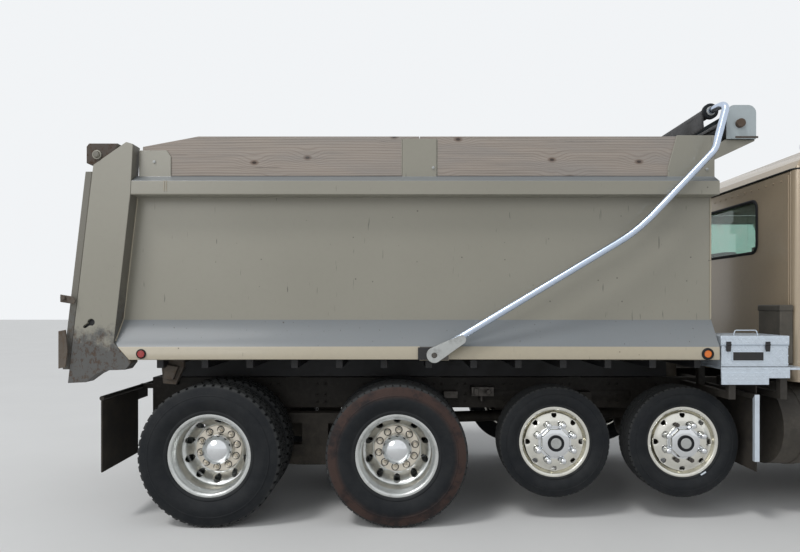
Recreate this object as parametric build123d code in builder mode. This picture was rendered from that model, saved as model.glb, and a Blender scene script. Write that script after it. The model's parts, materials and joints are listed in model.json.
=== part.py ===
"""Four-axle-group dump truck: chassis, cab, tilting bed with tailgate, tarp arms and hoist.

Millimetres. +X is forward, +Y is the driver's side, +Z is up.
The origin is on the ground, under the middle of the truck.
"""

import os
from math import sqrt

from build123d import *

# Overall size
overall_length = 8520
rear_x = -overall_length / 2
front_x = overall_length / 2
cab_front_x = front_x - 1700
cab_rear_x = cab_front_x - 1350
bed_front_x = cab_rear_x - 680

# Running clearances and small gaps
pin_clearance = 0.05
seat_gap = 0.3
panel_gap = 6
bed_gap = 6

# Axle places
rear_drive_x = rear_x + 1075
drive_spacing = 1372
lift_rear_x = bed_front_x - 1155
lift_spacing = 970
steer_x = front_x - 1100
lift_axle_z = 595

# Big tyres and rims
tyre_radius = 525
tyre_width = 280
rim_radius = 298
dual_spacing = 340
drive_outer_y = 1080
steer_wheel_y = 1040

# Lift axle tyres and rims
lift_tyre_radius = 420
lift_tyre_width = 245
lift_rim_radius = 260
lift_wheel_y = 948

# Frame rails
frame_half_width = 430
frame_top_z = 1010
frame_depth = 260
frame_flange = 85
frame_web = 10
frame_rear_x = rear_x + 370
frame_front_x = front_x - 230
frame_tail_plate = 18

# Bed
bed_half_width = 1220
bed_sheet_y = bed_half_width - 120
sheet_thickness = 6
floor_top_z = 1250
floor_thickness = 12
bottom_rail_z = 1230
bottom_rail_top_z = 1325
skirt_top_z = 1518
top_rail_top_z = 2580
top_rail_face_z = top_rail_top_z - 50
top_rail_z = top_rail_top_z - 150
board_y = bed_half_width - 80
board_thickness = 38
board_top_z = top_rail_top_z + 294
pocket_plate = 8
sill_width = 100
sill_y = 330
cross_sill_depth = 80
cross_sill_width = 50
cross_sill_count = 13

# Rear corner post and tailgate
post_bottom_z = 1062
post_top_z = top_rail_top_z + 232
post_rear_x = rear_x + 60
tail_slope = 0.1165
gate_bottom_z = 1215
gate_top_z = top_rail_top_z + 20
gate_panel = 60
gate_side_gap = 15
gate_flange_bottom_z = 1160
gate_pin_x = rear_x + 270
gate_pin_z = post_top_z - 92
gate_pin_radius = 22

# Bed hinge and hoist
bed_pivot_x = rear_x + 520
bed_pivot_z = 1075
bed_eye_radius = 55
bed_pin_radius = 30
hoist_x = bed_front_x + 130
hoist_base_z = 800
hoist_eye_z = top_rail_top_z - 330
hoist_barrel_radius = 105
hoist_wall = 13
hoist_step_gap = 0.5
hoist_foot = 45
eye_half_width = 70
eye_radius = 62
ear_plate = 25
doghouse_half_width = 170
doghouse_depth = 420
doghouse_top_z = hoist_eye_z - 170
doghouse_plate = 8

# Tarp arms and housing
arm_pivot_x = bed_front_x - 2075
arm_pivot_z = bottom_rail_z + 39
arm_y = bed_half_width + 48
arm_tube_radius = 25
arm_pin_radius = 20
crossbar_x = bed_front_x + 2
crossbar_radius = 22
sleeve_radius = 40
sleeve_end_radius = 52
housing_x = bed_front_x + 82
housing_depth = 217
housing_z = top_rail_top_z + 270
housing_height = 250
crossbar_z = housing_z + 228
housing_half_width = bed_half_width - 60
roll_x = housing_x + 82 + 12
roll_z = housing_z + 112
roll_radius = 82

# Cab, doors and hood
cab_floor_z = 1040
cab_half_width = 1020
cab_wall = 50
cab_roof_z = 2745
cab_crown_z = cab_roof_z + 165
hinge_y = cab_half_width + 16
hinge_radius = 14
hinge_half = 50
hinge_ear = 30
hinge_heights = (1300, 1820)
door_rear_x = cab_rear_x + 320
door_front_x = cab_rear_x + 1190
door_bottom_z = 1090
door_top_z = 2600
window_sill_z = 1930
glass_thickness = 8
hood_rear_x = cab_front_x + 12
hood_front_x = front_x - 175
hood_wall = 25
hood_pivot_x = hood_front_x - 15
hood_pivot_z = 745
hood_pin_radius = 12
hood_ear_y = 300
hood_ear_plate = 20
arch_radius = 640
fender_outer_y = 1195
fender_inner_y = 600
fender_bottom_z = 760

# Steering
kingpin_y = 870
kingpin_radius = 22
spindle_radius = 40
drive_hub_out = -20
steer_hub_out = 175
lift_hub_out = 150
spindle_end_gap = 30

os.makedirs("parts", exist_ok=True)


def save(builder, name):
    """Labels a finished piece and writes it."""
    builder.part.label = name
    export_step(builder.part, f"parts/{name}.step")


def block(x, y, z, mode=Mode.ADD):
    """A block between low and high values on each axis."""
    middle = tuple((low + high) / 2 for low, high in (x, y, z))
    with Locations(middle):
        Box(x[1] - x[0], y[1] - y[0], z[1] - z[0], mode=mode)


def rod(start, end, radius, mode=Mode.ADD):
    """A round bar from one point to another."""
    start, end = Vector(*start), Vector(*end)
    run = end - start
    with Locations(Plane(origin=start, z_dir=run).location):
        Cylinder(
            radius,
            run.length,
            align=(Align.CENTER, Align.CENTER, Align.MIN),
            mode=mode,
        )


def side_plane(y):
    """A plane seen from the right side, at a distance across the truck."""
    return Plane(origin=(0, y, 0), x_dir=(1, 0, 0), z_dir=(0, -1, 0))


def tail_x(z):
    """Rear edge of the slanted corner post at a height."""
    return post_rear_x + (z - post_bottom_z) * tail_slope


def wheel_plane(x, y, z, side):
    """A plane through an axle: local x points out of the truck, local y is up."""
    return Plane(origin=(x, y, z), x_dir=(0, side, 0), z_dir=(side, 0, 0))


# Mud flap bar and hoist cradle
flap_x = frame_rear_x - 130
flap_outer_y = 1085
flap_bar_z = 930
flap_bar_radius = 18
trunnion_radius = 35
cradle_gap = 12
cradle_plate = 25
cradle_length = 150

# Frame
rail_inner_y = frame_half_width - frame_web
frame_bottom_z = frame_top_z - frame_depth
# Cross members: centre x, length along the truck
cross_members = [
    (frame_rear_x + 190, 90),
    (rear_drive_x + 685, 90),
    (bed_front_x - 1730, 90),
    (bed_front_x - 670, 90),
    (cab_rear_x - 210, 90),
    (cab_rear_x + 490, 90),
    (frame_front_x - 130, 120),
]
hitch_spacing_y = 300
hitch_spacing_z = 140
hitch_hole_radius = 12
hitch_z = 880
with BuildPart() as frame_rails:
    for side in (1, -1):
        with BuildSketch(Plane.YZ.offset(frame_rear_x)):
            with Locations((side * (frame_half_width - frame_flange / 2), frame_top_z - frame_depth / 2)):
                Rectangle(frame_flange, frame_depth)
            with Locations(
                (side * (rail_inner_y - frame_flange / 2), frame_top_z - frame_depth / 2)
            ):
                Rectangle(frame_flange, frame_depth - 2 * frame_web, mode=Mode.SUBTRACT)
        extrude(amount=frame_front_x - frame_rear_x)
    for centre, length in cross_members:
        block(
            (centre - length / 2, centre + length / 2),
            (-rail_inner_y, rail_inner_y),
            (frame_bottom_z + frame_web, frame_top_z - 60),
        )
    # Rear plate with the hitch holes
    block(
        (frame_rear_x - frame_tail_plate, frame_rear_x),
        (-frame_half_width, frame_half_width),
        (frame_bottom_z - 60, frame_top_z),
    )
    hitch_plane = Plane(
        origin=(frame_rear_x - frame_tail_plate, 0, hitch_z),
        x_dir=(0, 1, 0),
        z_dir=(-1, 0, 0),
    )
    with Locations(hitch_plane.location):
        with GridLocations(hitch_spacing_y, hitch_spacing_z, 2, 2):
            Hole(hitch_hole_radius, 3 * frame_tail_plate)
    # Bed hinge ears behind the last cross member
    for side in (1, -1):
        for inner in (sill_y - 45, sill_y + sill_width + 15):
            low, high = sorted((side * inner, side * (inner + 30)))
            block((bed_pivot_x - 60, bed_pivot_x + 60), (low, high), (frame_top_z - 60, bed_pivot_z + 45))
        block(
            (bed_pivot_x - 60, bed_pivot_x + 60),
            tuple(sorted((side * (sill_y - 45), side * (sill_y + sill_width + 45)))),
            (frame_top_z - 60, frame_top_z - 40),
        )
        rod(
            (bed_pivot_x, side * (sill_y - 45), bed_pivot_z),
            (bed_pivot_x, side * (sill_y + sill_width + 45), bed_pivot_z),
            bed_pin_radius,
        )
    # Rubber topped rest pads under the bed sills
    for pad_x in (bed_pivot_x + 1040, bed_front_x - 2030, bed_front_x - 830, bed_front_x - 130):
        for side in (1, -1):
            low, high = sorted((side * sill_y, side * (sill_y + sill_width)))
            block((pad_x - 60, pad_x + 60), (low, high), (frame_top_z, frame_top_z + bed_gap - seat_gap))
    # Cradle that carries the hoist between the rails
    for side in (1, -1):
        cradle_y = hoist_barrel_radius + cradle_gap
        low, high = sorted((side * cradle_y, side * (cradle_y + cradle_plate)))
        with BuildSketch(side_plane(low)):
            with Locations((hoist_x, hoist_base_z)):
                Rectangle(cradle_length, 160)
        extrude(amount=-(high - low))
        low, high = sorted((side * cradle_y, side * rail_inner_y))
        block(
            (hoist_x - cradle_length / 2, hoist_x + cradle_length / 2),
            (low, high),
            (frame_bottom_z - 60, frame_bottom_z - 30),
        )
        low, high = sorted((side * (rail_inner_y - 20), side * rail_inner_y))
        block(
            (hoist_x - cradle_length / 2, hoist_x + cradle_length / 2),
            (low, high),
            (frame_bottom_z - 60, frame_bottom_z + 5),
        )
    rod(
        (hoist_x, -rail_inner_y / 2, hoist_base_z),
        (hoist_x, rail_inner_y / 2, hoist_base_z),
        trunnion_radius + pin_clearance,
        mode=Mode.SUBTRACT,
    )
    # Ears in front for the hood's hinge
    for side in (1, -1):
        low, high = sorted((side * hood_ear_y, side * (hood_ear_y + hood_ear_plate)))
        with BuildSketch(side_plane(low)):
            with Locations((hood_pivot_x, hood_pivot_z)):
                Circle(22)
            with Locations(((hood_pivot_x + frame_front_x - 130) / 2, hood_pivot_z + 4)):
                Rectangle(hood_pivot_x - frame_front_x + 130, 34)
            with Locations((hood_pivot_x, hood_pivot_z)):
                Circle(hood_pin_radius + pin_clearance, mode=Mode.SUBTRACT)
        extrude(amount=-(high - low))
    # Bar behind the axles for the mud flaps and rear lamps
    rod((flap_x, -flap_outer_y, flap_bar_z), (flap_x, flap_outer_y, flap_bar_z), flap_bar_radius)
    for side in (1, -1):
        block(
            (flap_x - 10, frame_rear_x - frame_tail_plate),
            (side * 380 - 15, side * 380 + 15),
            (flap_bar_z - 20, flap_bar_z + 20),
        )
        low, high = sorted((side * 240, side * 480))
        block((flap_x - 18, flap_x - 8), (low, high), (flap_bar_z - 110, flap_bar_z))
save(frame_rails, "frame_rails")

# Hoist, standing upright at rest
hoist_length = hoist_eye_z - hoist_base_z
barrel_top = hoist_length - 160
# Moving stages: outer radius, how far the tube's top stands above the barrel
stage_radii = []
outer_radius = hoist_barrel_radius
for number in range(3):
    outer_radius = outer_radius - hoist_wall - hoist_step_gap
    stage_radii.append(outer_radius)
hoist_plane = Plane(origin=(hoist_x, 0, hoist_base_z))
trunnion_reach = 200
stage_base = 62
with BuildPart() as hoist_barrel:
    with BuildSketch(hoist_plane.offset(-hoist_foot)):
        Circle(hoist_barrel_radius)
    extrude(amount=barrel_top + hoist_foot)
    with BuildSketch(hoist_plane.offset(stage_base - 2)):
        Circle(hoist_barrel_radius - hoist_wall)
    extrude(amount=barrel_top, mode=Mode.SUBTRACT)
    rod((hoist_x, -trunnion_reach, hoist_base_z), (hoist_x, trunnion_reach, hoist_base_z), trunnion_radius)
save(hoist_barrel, "hoist_barrel")
for number, radius in enumerate(stage_radii):
    last = number == len(stage_radii) - 1
    stage_top = barrel_top + 18 * (number + 1)
    with BuildPart() as stage:
        with BuildSketch(hoist_plane.offset(stage_base + 2 * number)):
            Circle(radius)
            if not last:
                Circle(radius - hoist_wall, mode=Mode.SUBTRACT)
        extrude(amount=stage_top - stage_base - 2 * number)
        if last:
            rod((hoist_x, 0, hoist_base_z + stage_top - 1), (hoist_x, 0, hoist_eye_z), radius * 0.8)
            rod((hoist_x, -eye_half_width, hoist_eye_z), (hoist_x, eye_half_width, hoist_eye_z), eye_radius)
    save(stage, f"hoist_stage_{number + 1}")

# Bed floor with long sills and cross sills
floor_bottom_z = floor_top_z - floor_thickness
inner_y = bed_sheet_y - sheet_thickness
sill_bottom_z = frame_top_z + bed_gap
gate_front_offset = 35
floor_rear_x = tail_x(floor_top_z) + gate_front_offset + bed_gap
wall_front = bed_front_x - 10
sill_front_x = bed_front_x - 40
doghouse_rear_x = bed_front_x - doghouse_depth
cross_start = bed_pivot_x + 160
cross_step = (sill_front_x - 60 - cross_start) / (cross_sill_count - 1)
with BuildPart() as bed_floor:
    block((floor_rear_x, wall_front), (-inner_y, inner_y), (floor_bottom_z, floor_top_z))
    for side in (1, -1):
        low, high = sorted((side * sill_y, side * (sill_y + sill_width)))
        block((bed_pivot_x, sill_front_x), (low, high), (sill_bottom_z, floor_bottom_z))
    for index in range(cross_sill_count):
        x = cross_start + index * cross_step
        block(
            (x - cross_sill_width / 2, x + cross_sill_width / 2),
            (-inner_y, inner_y),
            (floor_bottom_z - cross_sill_depth, floor_bottom_z),
        )
    # Notch that clears the hoist as it leans back
    block(
        (doghouse_rear_x - doghouse_plate, bed_front_x),
        (-doghouse_half_width - doghouse_plate, doghouse_half_width + doghouse_plate),
        (sill_bottom_z - 1, floor_top_z + 1),
        mode=Mode.SUBTRACT,
    )
    # Eyes of the rear hinge
    for side in (1, -1):
        low, high = sorted((side * sill_y, side * (sill_y + sill_width)))
        rod((bed_pivot_x, low, bed_pivot_z), (bed_pivot_x, high, bed_pivot_z), bed_eye_radius)
        rod(
            (bed_pivot_x, low, bed_pivot_z),
            (bed_pivot_x, high, bed_pivot_z),
            bed_pin_radius + pin_clearance,
            mode=Mode.SUBTRACT,
        )
    # Tail skirt under the floor, between the posts
    block((floor_rear_x, floor_rear_x + 120), (-inner_y, inner_y), (floor_bottom_z - 12, floor_bottom_z))
save(bed_floor, "bed_floor")

# Corner post outline, seen from the side
post_front_x = post_rear_x + 460
post_outline = [
    (post_rear_x, post_bottom_z),
    (post_rear_x + 131, post_bottom_z + 6),
    (post_rear_x + 205, post_bottom_z + 60),
    (post_rear_x + 271, post_bottom_z + 92),
    (post_front_x - 39, post_bottom_z + 97),
    (post_front_x, bottom_rail_z - 18),
    (post_front_x - 126, bottom_rail_top_z + 30),
    (post_front_x - 4, top_rail_z + 12),
    (post_front_x + 14, post_top_z - 15),
    (post_front_x - 37, post_top_z),
    (tail_x(post_top_z - 167), post_top_z - 167),
]
keyhole = (post_rear_x + 170, 1503)
keyhole_radius = 25
with BuildPart() as rear_posts:
    with BuildSketch(side_plane(bed_sheet_y)):
        with BuildLine():
            Polyline(*post_outline, close=True)
        make_face()
    extrude(amount=-(bed_half_width - bed_sheet_y))
    # Keyhole in the outer plate
    with BuildSketch(side_plane(bed_half_width)):
        with Locations(keyhole):
            Circle(keyhole_radius)
        with Locations((keyhole[0] - 25, keyhole[1] - 18)):
            SlotCenterToCenter(50, 22, rotation=35)
    extrude(amount=60, mode=Mode.SUBTRACT)
    # Tailgate pin block and its hole
    with BuildSketch(side_plane(bed_sheet_y + 4)):
        with BuildLine():
            Polyline(
                (gate_pin_x - 80, gate_pin_z - 60),
                (gate_pin_x - 80, gate_pin_z + 60),
                (gate_pin_x - 62, gate_pin_z + 84),
                (gate_pin_x + 150, gate_pin_z + 84),
                (gate_pin_x + 120, gate_pin_z + 20),
                (gate_pin_x - 26, gate_pin_z - 75),
                close=True,
            )
        make_face()
    extrude(amount=-(bed_half_width - bed_sheet_y - 16))
    rod((gate_pin_x, bed_sheet_y, gate_pin_z), (gate_pin_x, bed_half_width, gate_pin_z), 34)
    rod(
        (gate_pin_x, bed_sheet_y - 1, gate_pin_z),
        (gate_pin_x, bed_half_width + 1, gate_pin_z),
        gate_pin_radius + pin_clearance,
        mode=Mode.SUBTRACT,
    )
    mirror(about=Plane.XZ)
save(rear_posts, "rear_posts")

# Sides: sheet, dirt shedding skirt, rails and board pockets
side_section = [
    (inner_y, bottom_rail_z),
    (bed_half_width, bottom_rail_z),
    (bed_half_width, bottom_rail_top_z),
    (bed_sheet_y, skirt_top_z),
    (bed_sheet_y, top_rail_z),
    (bed_half_width, top_rail_z),
    (bed_half_width, top_rail_face_z),
    (board_y, top_rail_top_z),
    (inner_y, top_rail_top_z),
]
# Pockets: rear edge, front edge, top, and how far the two top corners are cut along and down
board_split_x = bed_front_x - 2176
pockets = [
    (post_rear_x + 485, post_rear_x + 722, top_rail_top_z + 189, (0, 0), (30, 45)),
    (board_split_x - 125, board_split_x + 125, top_rail_top_z + 275, (0, 0), (0, 0)),
    (bed_front_x - 346, bed_front_x, top_rail_top_z + 300, (66, 240), (0, 0)),
]
section_rear_x = post_front_x - 210
with BuildPart() as bed_sides:
    with BuildSketch(Plane.YZ.offset(section_rear_x)):
        with BuildLine():
            Polyline(*side_section, close=True)
        make_face()
    extrude(amount=bed_front_x - section_rear_x)
    # The part behind the post is cut away, and only the sheet runs on to the tailgate
    with BuildSketch(side_plane(bed_sheet_y)):
        with BuildLine():
            Polyline(*post_outline, close=True)
        make_face()
    extrude(amount=-(bed_half_width - bed_sheet_y), mode=Mode.SUBTRACT)
    with BuildSketch(side_plane(inner_y)):
        with BuildLine():
            Polyline(
                (section_rear_x, bottom_rail_z),
                (section_rear_x, top_rail_top_z),
                (tail_x(top_rail_top_z) + gate_front_offset + bed_gap, top_rail_top_z),
                (tail_x(bottom_rail_z) + gate_front_offset + bed_gap, bottom_rail_z),
                close=True,
            )
        make_face()
    extrude(amount=-sheet_thickness)
    for rear, front, top, rear_cut, front_cut in pockets:
        pocket_outline = [
            (rear, top_rail_face_z + 20),
            (rear, top - rear_cut[1]),
            (rear + rear_cut[0], top),
            (front - front_cut[0], top),
            (front, top - front_cut[1]),
            (front, top_rail_face_z + 20),
        ]
        with BuildSketch(side_plane(board_y)):
            with BuildLine():
                Polyline(*dict.fromkeys(pocket_outline), close=True)
            make_face()
        extrude(amount=-pocket_plate)
        block((rear, front), (inner_y, board_y - board_thickness - seat_gap), (top_rail_top_z - 1, top))
    # Arm bracket and pin on the bottom rail
    block(
        (arm_pivot_x - 100, arm_pivot_x + 105),
        (bed_half_width, bed_half_width + 12),
        (bottom_rail_z + 1, bottom_rail_top_z),
    )
    rod(
        (arm_pivot_x, bed_half_width, arm_pivot_z),
        (arm_pivot_x, arm_y + 28, arm_pivot_z),
        arm_pin_radius,
    )
    mirror(about=Plane.XZ)
save(bed_sides, "bed_sides")

# Wooden side boards, two planks on each side
board_rear_x = post_rear_x + 510
board_front_x = bed_front_x - 8
board_taper_x = board_rear_x + 410
with BuildPart() as side_boards:
    with BuildSketch(side_plane(board_y - board_thickness)):
        with BuildLine():
            Polyline(
                (board_rear_x, top_rail_top_z),
                (board_rear_x, board_top_z - 77),
                (board_taper_x, board_top_z),
                (board_split_x - 2, board_top_z),
                (board_split_x - 2, top_rail_top_z),
                close=True,
            )
        make_face()
    extrude(amount=-board_thickness)
    block(
        (board_split_x + 2, board_front_x),
        (board_y - board_thickness, board_y),
        (top_rail_top_z, board_top_z),
    )
    mirror(about=Plane.XZ)
save(side_boards, "side_boards")

# Front wall with hoist recess, ears for the hoist eye, and the cab shield
ear_inner_y = eye_half_width + 2
shield_reach_x = housing_x + housing_depth
with BuildPart() as bed_front:
    block((wall_front, bed_front_x), (-inner_y, inner_y), (floor_bottom_z, top_rail_top_z))
    block((wall_front, bed_front_x), (-inner_y + 8, inner_y - 8), (top_rail_top_z, housing_z))
    block(
        (wall_front - 1, bed_front_x + 1),
        (-doghouse_half_width, doghouse_half_width),
        (floor_bottom_z - 1, doghouse_top_z),
        mode=Mode.SUBTRACT,
    )
    # Recess walls
    with BuildSketch(side_plane(-doghouse_half_width - doghouse_plate)):
        with BuildLine():
            Polyline(
                (bed_front_x, floor_bottom_z),
                (doghouse_rear_x - doghouse_plate, floor_bottom_z),
                (bed_front_x - doghouse_plate, doghouse_top_z + 12),
                (bed_front_x, doghouse_top_z + 12),
                close=True,
            )
        make_face()
    extrude(amount=-2 * (doghouse_half_width + doghouse_plate))
    with BuildSketch(side_plane(-doghouse_half_width)):
        with BuildLine():
            Polyline(
                (bed_front_x + 1, floor_bottom_z - 1),
                (doghouse_rear_x, floor_bottom_z - 1),
                (bed_front_x, doghouse_top_z),
                (bed_front_x + 1, doghouse_top_z),
                close=True,
            )
        make_face()
    extrude(amount=-2 * doghouse_half_width, mode=Mode.SUBTRACT)
    # Ears either side of the hoist eye
    for side in (1, -1):
        low, high = sorted((side * ear_inner_y, side * (ear_inner_y + ear_plate)))
        with BuildSketch(side_plane(low)):
            with BuildLine():
                Polyline(
                    (bed_front_x, hoist_eye_z - 150),
                    (hoist_x + 40, hoist_eye_z - 70),
                    (hoist_x + 70, hoist_eye_z),
                    (hoist_x + 40, hoist_eye_z + 70),
                    (bed_front_x, hoist_eye_z + 150),
                    close=True,
                )
            make_face()
        extrude(amount=-(high - low))
        rod(
            (hoist_x, side * (ear_inner_y + ear_plate), hoist_eye_z),
            (hoist_x, side * (ear_inner_y + ear_plate + 18), hoist_eye_z),
            45,
        )
    # Stiffening ribs on the wall
    for rib_y in (-900, -560, 560, 900):
        block(
            (bed_front_x, bed_front_x + 12),
            (rib_y - 40, rib_y + 40),
            (floor_bottom_z + 20, top_rail_top_z),
        )
    # Shield plate that slopes up towards the cab
    with BuildSketch(side_plane(-housing_half_width + 20)):
        with BuildLine():
            Polyline(
                (bed_front_x, housing_z - 150),
                (shield_reach_x, housing_z - 10),
                (shield_reach_x, housing_z - seat_gap),
                (housing_x, housing_z - seat_gap),
                (bed_front_x, housing_z - 60),
                close=True,
            )
        make_face()
    extrude(amount=-2 * (housing_half_width - 20))
save(bed_front, "bed_front")

# Tarp housing: two end plates and a formed cover
plate_thickness = 10
with BuildPart() as tarp_housing:
    for side in (1, -1):
        low, high = sorted((side * housing_half_width, side * (housing_half_width - plate_thickness)))
        with BuildSketch(side_plane(low)):
            with Locations((housing_x + housing_depth / 2, housing_z + housing_height / 2)):
                RectangleRounded(housing_depth, housing_height, 60)
            with Locations((housing_x + housing_depth / 2, housing_z + 40)):
                Rectangle(housing_depth, 80)
        extrude(amount=-(high - low))
        rod(
            (roll_x, side * housing_half_width, roll_z),
            (roll_x, side * (housing_half_width + 28), roll_z),
            32,
        )
    with BuildSketch(side_plane(-housing_half_width)):
        with Locations((housing_x + housing_depth / 2, housing_z + housing_height / 2)):
            RectangleRounded(housing_depth, housing_height, 60)
            RectangleRounded(housing_depth - 8, housing_height - 8, 56, mode=Mode.SUBTRACT)
        with Locations((housing_x + 40, housing_z + housing_height / 2)):
            Rectangle(140, housing_height + 2, mode=Mode.SUBTRACT)
        with Locations((housing_x + housing_depth / 2, housing_z + 20)):
            Rectangle(housing_depth + 2, 60, mode=Mode.SUBTRACT)
    extrude(amount=-2 * housing_half_width)
    # Foot strip along the front that carries the cover
    block(
        (shield_reach_x - 4, shield_reach_x),
        (-housing_half_width, housing_half_width),
        (housing_z, housing_z + 60),
    )
save(tarp_housing, "tarp_housing")
with BuildPart() as tarp_roll:
    rod(
        (roll_x, -housing_half_width + plate_thickness + seat_gap, roll_z),
        (roll_x, housing_half_width - plate_thickness - seat_gap, roll_z),
        roll_radius,
    )
save(tarp_roll, "tarp_roll")

# Tarp arms: a cast foot, a bent tube and the bar across the front
arm_foot_end = (arm_pivot_x + 195, arm_pivot_z + 112)
arm_route = [
    (arm_pivot_x + 60, arm_y, arm_pivot_z + 51),
    (crossbar_x - 616, arm_y, crossbar_z - 915),
    (crossbar_x - 66, arm_y, crossbar_z - 340),
    (crossbar_x + 25, arm_y, crossbar_z),
    (crossbar_x, housing_half_width - 10, crossbar_z),
    (crossbar_x, housing_half_width - 60, crossbar_z),
]
arm_bends = [1200, 130, 60, 150]
with BuildPart() as tarp_arms:
    with BuildLine() as arm_path:
        FilletPolyline(*arm_route, radius=arm_bends)
    with BuildSketch(Plane(origin=arm_path.line @ 0, z_dir=arm_path.line % 0)):
        Circle(arm_tube_radius)
    sweep()
    # Cast foot that tapers from the pivot towards the tube
    with BuildSketch(side_plane(arm_y - 27)):
        with Locations((arm_pivot_x, arm_pivot_z)):
            Circle(54)
        with Locations(arm_foot_end):
            Circle(32)
        make_hull()
    extrude(amount=-54)
    rod(
        (arm_pivot_x, arm_y - 28, arm_pivot_z),
        (arm_pivot_x, arm_y + 28, arm_pivot_z),
        arm_pin_radius + pin_clearance,
        mode=Mode.SUBTRACT,
    )
    mirror(about=Plane.XZ)
    rod(
        (crossbar_x, -housing_half_width + 60, crossbar_z),
        (crossbar_x, housing_half_width - 60, crossbar_z),
        crossbar_radius,
    )
save(tarp_arms, "tarp_arms")
with BuildPart() as tarp_sleeve:
    with BuildSketch(side_plane(-housing_half_width + 100)):
        with Locations((crossbar_x, crossbar_z)):
            Circle(sleeve_radius)
            Circle(crossbar_radius + seat_gap, mode=Mode.SUBTRACT)
    extrude(amount=-2 * (housing_half_width - 100))
    # End discs
    for end_y in (-housing_half_width + 70, housing_half_width - 102):
        with BuildSketch(side_plane(end_y)):
            with Locations((crossbar_x, crossbar_z)):
                Circle(sleeve_end_radius)
                Circle(crossbar_radius + seat_gap, mode=Mode.SUBTRACT)
        extrude(amount=-32)
save(tarp_sleeve, "tarp_sleeve")

# Side marker lamps on the bottom rail
lamp_radius = 28
with BuildPart() as bed_lamps:
    for lamp_x in (post_rear_x + 534, bed_front_x - 90):
        rod((lamp_x, bed_half_width, 1274), (lamp_x, bed_half_width + 10, 1274), lamp_radius)
    mirror(about=Plane.XZ)
save(bed_lamps, "bed_lamps")

# Tailgate: panel, ribs, side lugs and top arms on their pins
gate_half_width = bed_sheet_y - gate_side_gap
gate_rear_offset = gate_panel - gate_front_offset
rib_depth = tail_x(gate_bottom_z) - gate_rear_offset - rear_x
# Horizontal ribs: low z, high z
gate_ribs = [
    (gate_bottom_z, gate_bottom_z + 125),
    (gate_bottom_z + 405, gate_bottom_z + 485),
    (gate_bottom_z + 795, gate_bottom_z + 875),
    (gate_top_z - 120, gate_top_z),
]
with BuildPart() as tailgate:
    with BuildSketch(side_plane(-gate_half_width)):
        with BuildLine():
            Polyline(
                (tail_x(gate_bottom_z) + gate_front_offset, gate_bottom_z),
                (tail_x(gate_bottom_z) - gate_rear_offset, gate_bottom_z),
                (tail_x(gate_top_z) - gate_rear_offset, gate_top_z),
                (tail_x(gate_top_z) + gate_front_offset, gate_top_z),
                close=True,
            )
        make_face()
    extrude(amount=-2 * gate_half_width)
    for low, high in gate_ribs:
        with BuildSketch(side_plane(-gate_half_width)):
            with BuildLine():
                Polyline(
                    (tail_x(low), low),
                    (tail_x(low) - gate_rear_offset - rib_depth, low),
                    (tail_x(high) - gate_rear_offset - rib_depth, high),
                    (tail_x(high), high),
                    close=True,
                )
            make_face()
        extrude(amount=-2 * gate_half_width)
    for rib_y in (-gate_half_width, -380, 300, gate_half_width - 80):
        with BuildSketch(side_plane(rib_y)):
            with BuildLine():
                Polyline(
                    (tail_x(gate_bottom_z), gate_bottom_z),
                    (tail_x(gate_bottom_z) - gate_rear_offset - rib_depth, gate_bottom_z),
                    (tail_x(gate_top_z) - gate_rear_offset - rib_depth, gate_top_z),
                    (tail_x(gate_top_z), gate_top_z),
                    close=True,
                )
            make_face()
        extrude(amount=-80)
    # Flanges that close behind the corner posts
    for side in (1, -1):
        low, high = sorted((side * (gate_half_width - 25), side * (bed_half_width - 15)))
        with BuildSketch(side_plane(low)):
            with BuildLine():
                Polyline(
                    (tail_x(gate_flange_bottom_z) - 8, gate_flange_bottom_z),
                    (tail_x(gate_flange_bottom_z) - 58, gate_flange_bottom_z),
                    (tail_x(gate_top_z) - 58, gate_top_z),
                    (tail_x(gate_top_z) - 8, gate_top_z),
                    close=True,
                )
            make_face()
        extrude(amount=-(high - low))
    for side in (1, -1):
        low, high = sorted((side * (gate_half_width - 45), side * gate_half_width))
        with BuildSketch(side_plane(low)):
            with BuildLine():
                Polyline(
                    (tail_x(gate_top_z) - gate_rear_offset, gate_top_z - 80),
                    (gate_pin_x - 50, gate_pin_z + 10),
                    (gate_pin_x, gate_pin_z + 55),
                    (gate_pin_x + 50, gate_pin_z),
                    (tail_x(gate_top_z) + gate_front_offset, gate_top_z - 80),
                    close=True,
                )
            make_face()
        extrude(amount=-(high - low))
        rod(
            (gate_pin_x, side * (gate_half_width - 5), gate_pin_z),
            (gate_pin_x, side * (bed_half_width + 15), gate_pin_z),
            gate_pin_radius,
        )
save(tailgate, "tailgate")

# Tyres and wheels
# Kinds: tyre radius, tyre width, rim radius, drum radius, hub's outer end, hand holes,
# hole circle, and for each rim its centre, its disc's face and which way the disc bulges
wheel_kinds = {
    "drive": (
        tyre_radius, tyre_width, rim_radius, 200, drive_hub_out, 10, 232,
        [(0, -158, -1), (-dual_spacing, 18 - dual_spacing / 2 - 24, 1)],
    ),
    "steer": (tyre_radius, tyre_width, rim_radius, 200, steer_hub_out, 10, 232, [(0, 120, 1)]),
    "lift": (lift_tyre_radius, lift_tyre_width, lift_rim_radius, 165, lift_hub_out, 8, 195, [(0, 95, 1)]),
}
# Axle rows: name, kind, x, z, wheel centre y
axle_rows = [
    ("steer", "steer", steer_x, tyre_radius, steer_wheel_y),
    ("lift_front", "lift", lift_rear_x + lift_spacing, lift_axle_z, lift_wheel_y),
    ("lift_rear", "lift", lift_rear_x, lift_axle_z, lift_wheel_y),
    ("drive_front", "drive", rear_drive_x + drive_spacing, tyre_radius, drive_outer_y),
    ("drive_rear", "drive", rear_drive_x, tyre_radius, drive_outer_y),
]
hub_radius = 85
hub_cap = 22
rim_well = 40
disc_thickness = 16
flange_reach = 0.38
hand_hole_radius = 27


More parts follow.
